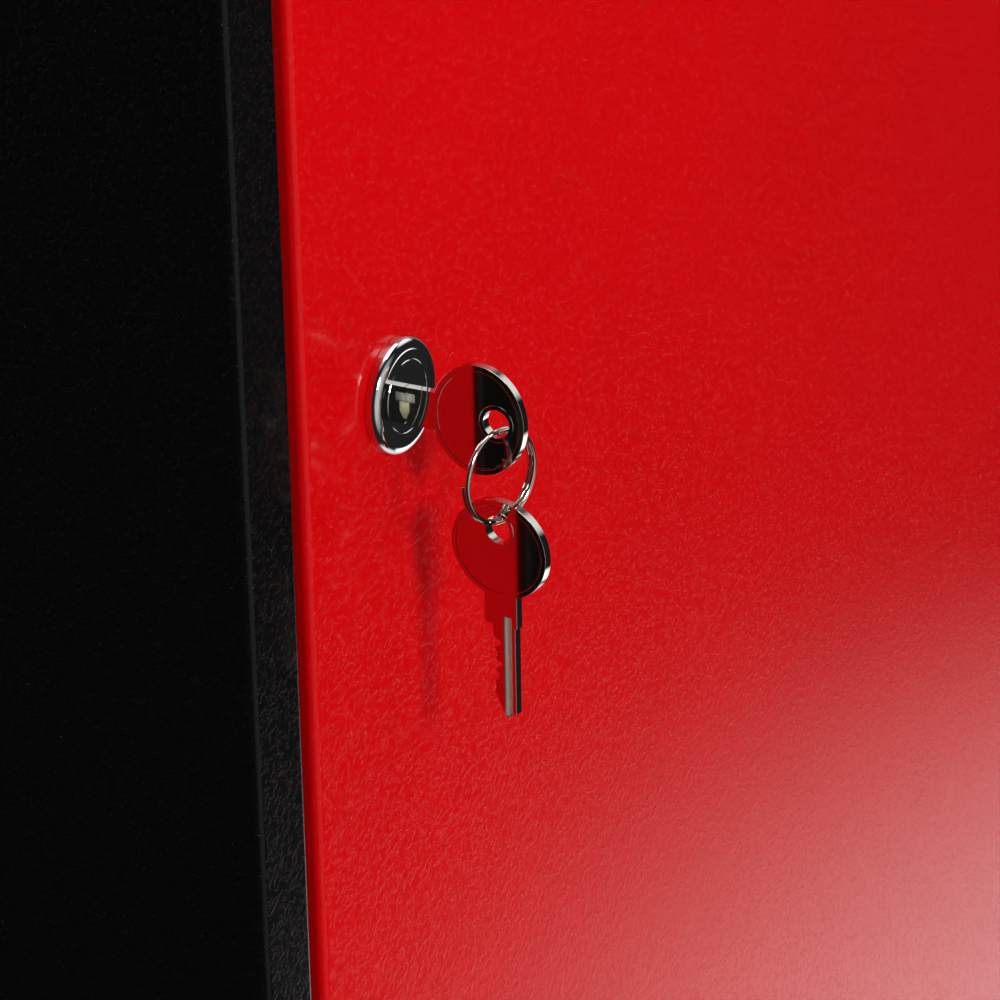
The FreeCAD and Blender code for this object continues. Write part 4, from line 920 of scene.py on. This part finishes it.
@dataclass
class Wheel:
    """One castor wheel's tyre and spokes, and the caps on its axle."""

    label: str
    middle: Triple
    rolls_with: str
    carried_by: str
    tyre_radius: float = 50.0
    rim: float = 39.0
    half_width: float = 16.0
    shoulder: float = 6.0
    shoulder_steps: int = 8
    tyre_steps: int = 120
    bead: Pair = (2.4, 3.8)
    bead_slope: float = 0.3
    bead_depth: float = 0.5
    grooves: tuple[float, ...] = (5.0, 0.0, -5.0)
    groove_depth: float = 0.9
    groove_top: float = 0.9
    groove_floor: float = 0.5
    spokes: int = 8
    spoke: Triple = (22.5, 8.5, 3.0)
    spoke_middle: float = 23.6
    spoke_taper: float = 3.2
    spoke_round: float = 0.8
    web: float = 4.5
    web_bite: float = 0.4
    cap_radius: float = 5.6
    cap_start: float = 26.5
    cap_tuck: float = 0.3
    cap_height: float = 2.8
    cap_steps: int = 40
    dome_steps: int = 8

    def place(self) -> Matrix:
        """Give the wheel's place in the cabinet's frame."""
        return Matrix.Translation(Vector(self.middle) * MM)

    def tyre(self) -> Shape:
        """Spin the tyre with round shoulders and three grooves.

        Returns:
            The shape in place.
        """
        near, far = (self.rim + offset for offset in self.bead)
        side, sunk = self.half_width, self.half_width - self.bead_depth
        flank = [(self.rim, side), (near, side), (near + self.bead_slope, sunk),
                 (far - self.bead_slope, sunk), (far, side)]
        flank += [(self.tyre_radius - self.shoulder * (1 - out), side - self.shoulder * (1 - up))
                  for out, up in arc(90, 0, self.shoulder_steps)]
        outer, inner = self.tyre_radius, self.tyre_radius - self.groove_depth
        tread = []
        for middle in self.grooves:
            tread += [(outer, middle + self.groove_top), (inner, middle + self.groove_floor),
                      (inner, middle - self.groove_floor), (outer, middle - self.groove_top)]
        profile = flank + tread + [(out, -along) for out, along in reversed(flank)]
        shape = bmesh.new()
        lathe(shape, profile, self.place(), self.tyre_steps)
        return shape

    def star(self) -> Shape:
        """Stand spokes on both faces of the wheel's web.

        Returns:
            The shape in place.
        """
        long, tall, thick = self.spoke
        shape = bmesh.new()
        for side in (-1, 1):
            corners = bmesh.ops.create_cube(shape, size=1.0)["verts"]
            bmesh.ops.scale(shape, vec=(long * MM, tall * MM, thick * MM), verts=corners)
            stand = side * (self.web + tall / 2 - self.web_bite)
            bmesh.ops.translate(shape, vec=(self.spoke_middle * MM, stand * MM, 0), verts=corners)
            for vert in corners:
                if abs(vert.co.y) > abs(stand) * MM and vert.co.x > self.spoke_middle * MM:
                    vert.co.y -= side * self.spoke_taper * MM
            soften(shape, {edge for vert in corners for edge in vert.link_edges},
                   self.spoke_round)
        bmesh.ops.spin(shape, geom=everything(shape), cent=(0, 0, 0), axis=(0, 1, 0),
                       dvec=(0, 0, 0), angle=math.tau * (self.spokes - 1) / self.spokes,
                       steps=self.spokes - 1, use_merge=False, use_duplicate=True)
        bmesh.ops.transform(shape, matrix=self.place(), verts=shape.verts[:])
        return shape

    def caps(self) -> Shape:
        """Dome the two ends of the axle.

        Returns:
            The shape in place.
        """
        shape = bmesh.new()
        for side in (-1, 1):
            foot = side * (self.cap_start - self.cap_tuck)
            dome = [(self.cap_radius * out, side * (self.cap_start + self.cap_height * up))
                    for out, up in arc(0, 90, self.dome_steps)]
            lathe(shape, [(0.0, foot), (self.cap_radius, foot)] + dome, self.place(),
                  self.cap_steps)
        return shape

    def build(self, shop: Workshop) -> None:
        """Make the wheel's pieces."""
        shop.piece(f"{self.label}_ribbed_tyre", self.tyre(), self.rolls_with, Slot.TYRE,
                   [f"{self.label}_tyre"], crease=24.0)
        shop.piece(f"{self.label}_spokes", self.star(), self.rolls_with, Slot.PLASTIC)
        shop.piece(f"{self.label}_axle_caps", self.caps(), self.carried_by, Slot.ZINC)


@dataclass
class Running:
    """The four wheels and the two brake pedals' rubber pads."""

    rows: tuple[tuple[str, float], ...] = (("front", -134.5), ("rear", 171.5))
    fixed_x: float = -229.75
    swivel_x: float = 124.25
    axle_z: float = 50.0
    pad_start: float = 95.5
    pad_base: float = 110.0
    pad_half_width: float = 13.0
    pad_sunk: float = 0.2
    pad_floor: float = 1.2
    pad_crest: float = 2.1
    pad_ribs: int = 8
    rib_pitch: float = 3.4
    rib_slope: float = 0.4
    rib_gap: float = 1.0

    def pad(self, along: float) -> Shape:
        """Rib the rubber pad on a pedal.

        Args:
            along: The castor's Y in millimetres.

        Returns:
            The shape in place.
        """
        foot, floor, crest = (self.pad_base + rise
                              for rise in (-self.pad_sunk, self.pad_floor, self.pad_crest))
        points = [(self.pad_start, foot)]
        for index in range(self.pad_ribs):
            left = self.pad_start + index * self.rib_pitch
            right = left + self.rib_pitch - self.rib_gap
            points += [(left, floor), (left + self.rib_slope, crest),
                       (right - self.rib_slope, crest), (right, floor)]
        points.append((right, foot))
        shape = bmesh.new()
        faces = fill(shape, loop_of(shape, points, -self.pad_half_width))
        corners = only(bmesh.ops.extrude_face_region(shape, geom=faces), Vert)
        bmesh.ops.translate(shape, vec=(2 * self.pad_half_width * MM, 0, 0), verts=corners)
        bmesh.ops.transform(shape, matrix=Matrix.Translation((0, along * MM, 0)) @ TO_SIDE,
                            verts=shape.verts[:])
        return shape

    def build(self, shop: Workshop) -> None:
        """Make every wheel and pad."""
        for row, along in self.rows:
            Wheel(f"fixed_castor_{row}", (self.fixed_x, along, self.axle_z),
                  f"{row}_fixed_wheel", "cabinet").build(shop)
            Wheel(f"swivel_castor_{row}", (self.swivel_x, along, self.axle_z),
                  f"{row}_swivel_wheel", f"{row}_swivel_fork").build(shop)
            shop.piece(f"swivel_castor_{row}_pedal_pad", self.pad(along),
                       f"{row}_brake_pedal", Slot.RUBBER)


@dataclass
class PushTube:
    """The bright tube of the push handle, with rolled ends."""

    middle: Triple = (279.25, 18.5, 828.0)
    radius: float = 12.5
    wall: float = 1.5
    lip: float = 0.4
    half_length: float = 155.0
    steps: int = 112

    def build(self, shop: Workshop) -> None:
        """Spin the tube."""
        inside, outside, end = self.radius - self.wall, self.radius, self.half_length
        half = [(outside, end - self.lip), (outside - self.lip, end), (inside, end)]
        profile = [(out, -along) for out, along in reversed(half)] + half
        shape = bmesh.new()
        lathe(shape, profile, Matrix.Translation(Vector(self.middle) * MM), self.steps)
        shop.piece("push_handle_bright_tube", shape, "cabinet", Slot.CHROME,
                   ["push_handle_tube"], crease=24.0)


@dataclass(frozen=True)
class View:
    """Where the camera stands, in metres, and how it is held, in degrees."""

    stand: Triple = (-0.9003, -0.6139, 0.8186)
    azimuth: float = 59.96
    fall: float = 22.39
    roll: float = -1.08
    lens: float = 144.0
    sensor: float = 36.0
    reach: Pair = (0.01, 60.0)

    def build(self) -> None:
        """Put the camera in the scene."""
        across, down, roll = (math.radians(a) for a in (self.azimuth, self.fall, self.roll))
        ahead = Vector((math.sin(across) * math.cos(down), math.cos(across) * math.cos(down),
                        -math.sin(down)))
        right = Vector((math.cos(across), -math.sin(across), 0))
        up = right.cross(ahead)
        side = math.cos(roll) * right + math.sin(roll) * up
        top = math.cos(roll) * up - math.sin(roll) * right
        data = bpy.data.cameras.new("photo_view")
        data.lens, data.sensor_width = self.lens, self.sensor
        data.clip_start, data.clip_end = self.reach
        camera = bpy.data.objects.new("photo_view", data)
        bpy.context.scene.collection.objects.link(camera)
        turn = Matrix((side, top, -ahead)).transposed().to_4x4()
        camera.matrix_world = Matrix.Translation(Vector(self.stand)) @ turn
        bpy.context.scene.camera = camera


@dataclass(frozen=True)
class Lamp:
    """One soft square lamp: its place, aim and side in metres, and its watts."""

    name: str
    spot: Triple
    aim: Triple
    side: float
    watts: float

    def build(self) -> None:
        """Hang the lamp."""
        data = bpy.data.lights.new(self.name, "AREA")
        data.shape, data.size, data.energy = "SQUARE", self.side, self.watts
        lamp = bpy.data.objects.new(self.name, data)
        bpy.context.scene.collection.objects.link(lamp)
        spot = Vector(self.spot)
        facing = (Vector(self.aim) - spot).to_track_quat("-Z", "Y")
        lamp.matrix_world = Matrix.Translation(spot) @ facing.to_matrix().to_4x4()
        lamp.visible_camera = False


@dataclass(frozen=True)
class Glow:
    """A soft bright patch of the surround: its aim, its edges in degrees and its level.

    The camera doesn't see it. Only reflections and diffuse light do.
    """

    aim: Triple
    inner: float
    outer: float
    level: float

    def build(self, tree: bpy.types.NodeTree, place: Socket) -> Socket:
        """Add the glow's nodes.

        Args:
            tree: The surround's node tree.
            place: The direction that is looked along.

        Returns:
            How bright the glow is there.
        """
        dot = tree.nodes.new("ShaderNodeVectorMath")
        dot.operation = "DOT_PRODUCT"
        dot.inputs[1].default_value = Vector(self.aim).normalized()
        tree.links.new(place, dot.inputs[0])
        glow = tree.nodes.new("ShaderNodeMapRange")
        glow.interpolation_type = "SMOOTHSTEP"
        for name, number in (("From Min", math.cos(math.radians(self.outer))),
                             ("From Max", math.cos(math.radians(self.inner))),
                             ("To Min", 0.0), ("To Max", self.level)):
            glow.inputs[name].default_value = number
        tree.links.new(dot.outputs["Value"], glow.inputs["Value"])
        return glow.outputs["Result"]


@dataclass(frozen=True)
class Studio:
    """Plain pale floor, soft lamps and a quiet surround."""

    floor_size: float = 7.0
    floor_patch: float = 0.5
    floor_colour: Colour = (0.74, 0.74, 0.73)
    floor_shade: Colour = (0.70, 0.70, 0.695)
    pale: Colour = (0.86, 0.86, 0.85)
    dim: float = 0.022
    lamps: tuple[Lamp, ...] = (
        Lamp("front_lamp", (-0.80, -1.60, 1.05), (-0.20, -0.20, 0.52), side=0.34, watts=15.2),
        Lamp("top_lamp", (0.3, -0.6, 2.6), (0.0, 0.0, 0.5), side=1.6, watts=20.0),
        Lamp("right_lamp", (2.4, 0.8, 1.5), (0.0, 0.0, 0.5), side=1.2, watts=55.0))
    glows: tuple[Glow, ...] = (
        Glow((0.767, -0.249, -0.591), 5.0, 14.0, 2.7),
        Glow((0.80, -0.38, 0.47), 6.0, 22.0, 1.5),
        Glow((0.40, -0.05, -0.91), 8.0, 30.0, 1.2),
        Glow((0.15, 0.10, 1.0), 10.0, 45.0, 0.9),
        Glow((0.8, 0.5, 0.2), 5.0, 50.0, 0.4),
        Glow((-0.10, -0.98, -0.05), 14.0, 46.0, 0.75),
        Glow((-0.45, 0.88, 0.20), 8.0, 36.0, 0.9))

    def floor(self) -> None:
        """Lay the floor."""
        shape = bmesh.new()
        bmesh.ops.create_grid(shape, x_segments=2, y_segments=2, size=self.floor_size / 2)
        mesh = bpy.data.meshes.new("studio_floor")
        shape.to_mesh(mesh)
        shape.free()
        graph = Graph("studio_floor")
        cloud = graph.noise(self.floor_patch, detail=3.0)
        graph.feed("Base Color", graph.blend(cloud, self.floor_colour, self.floor_shade))
        graph.set(Roughness=0.85)
        mesh.materials.append(graph.material)
        floor = bpy.data.objects.new("studio_floor", mesh)
        bpy.context.scene.collection.objects.link(floor)
        floor.visible_glossy = False

    def surround(self) -> None:
        """Paint the air: pale to the eye, mostly dim in reflections."""
        world = bpy.data.worlds.new("studio_air")
        bpy.context.scene.world = world
        world.use_nodes = True
        tree = world.node_tree
        tree.nodes.clear()
        output, pick, rays, seen, felt, place = (
            tree.nodes.new(f"ShaderNode{kind}")
            for kind in ("OutputWorld", "MixShader", "LightPath", "Background", "Background",
                         "TexCoord"))
        seen.inputs["Color"].default_value = (*self.pale, 1.0)
        total = None
        for glow in self.glows:
            level = glow.build(tree, place.outputs["Generated"])
            more = tree.nodes.new("ShaderNodeMath")
            more.inputs[0].default_value = self.dim
            if total is not None:
                tree.links.new(total, more.inputs[0])
            tree.links.new(level, more.inputs[1])
            total = more.outputs["Value"]
        for source, target in (
                (total, felt.inputs["Strength"]),
                (rays.outputs["Is Camera Ray"], pick.inputs["Fac"]),
                (felt.outputs["Background"], pick.inputs[1]),
                (seen.outputs["Background"], pick.inputs[2]),
                (pick.outputs["Shader"], output.inputs["Surface"])):
            tree.links.new(source, target)

    def build(self) -> None:
        """Set up the floor, the surround and the lamps."""
        self.floor()
        self.surround()
        for lamp in self.lamps:
            lamp.build()


def main() -> None:
    """Dress the cabinet, add its fine pieces and set up the studio."""
    logging.basicConfig(level=logging.INFO, format="%(message)s")
    shop = Workshop()
    shop.dress_frame()
    Lock().build(shop)
    KeySet(KeyBlank()).build(shop)
    Running().build(shop)
    PushTube().build(shop)
    View().build()
    Studio().build()
    bpy.context.scene.view_settings.view_transform = "Standard"


if __name__ == "__main__":
    main()
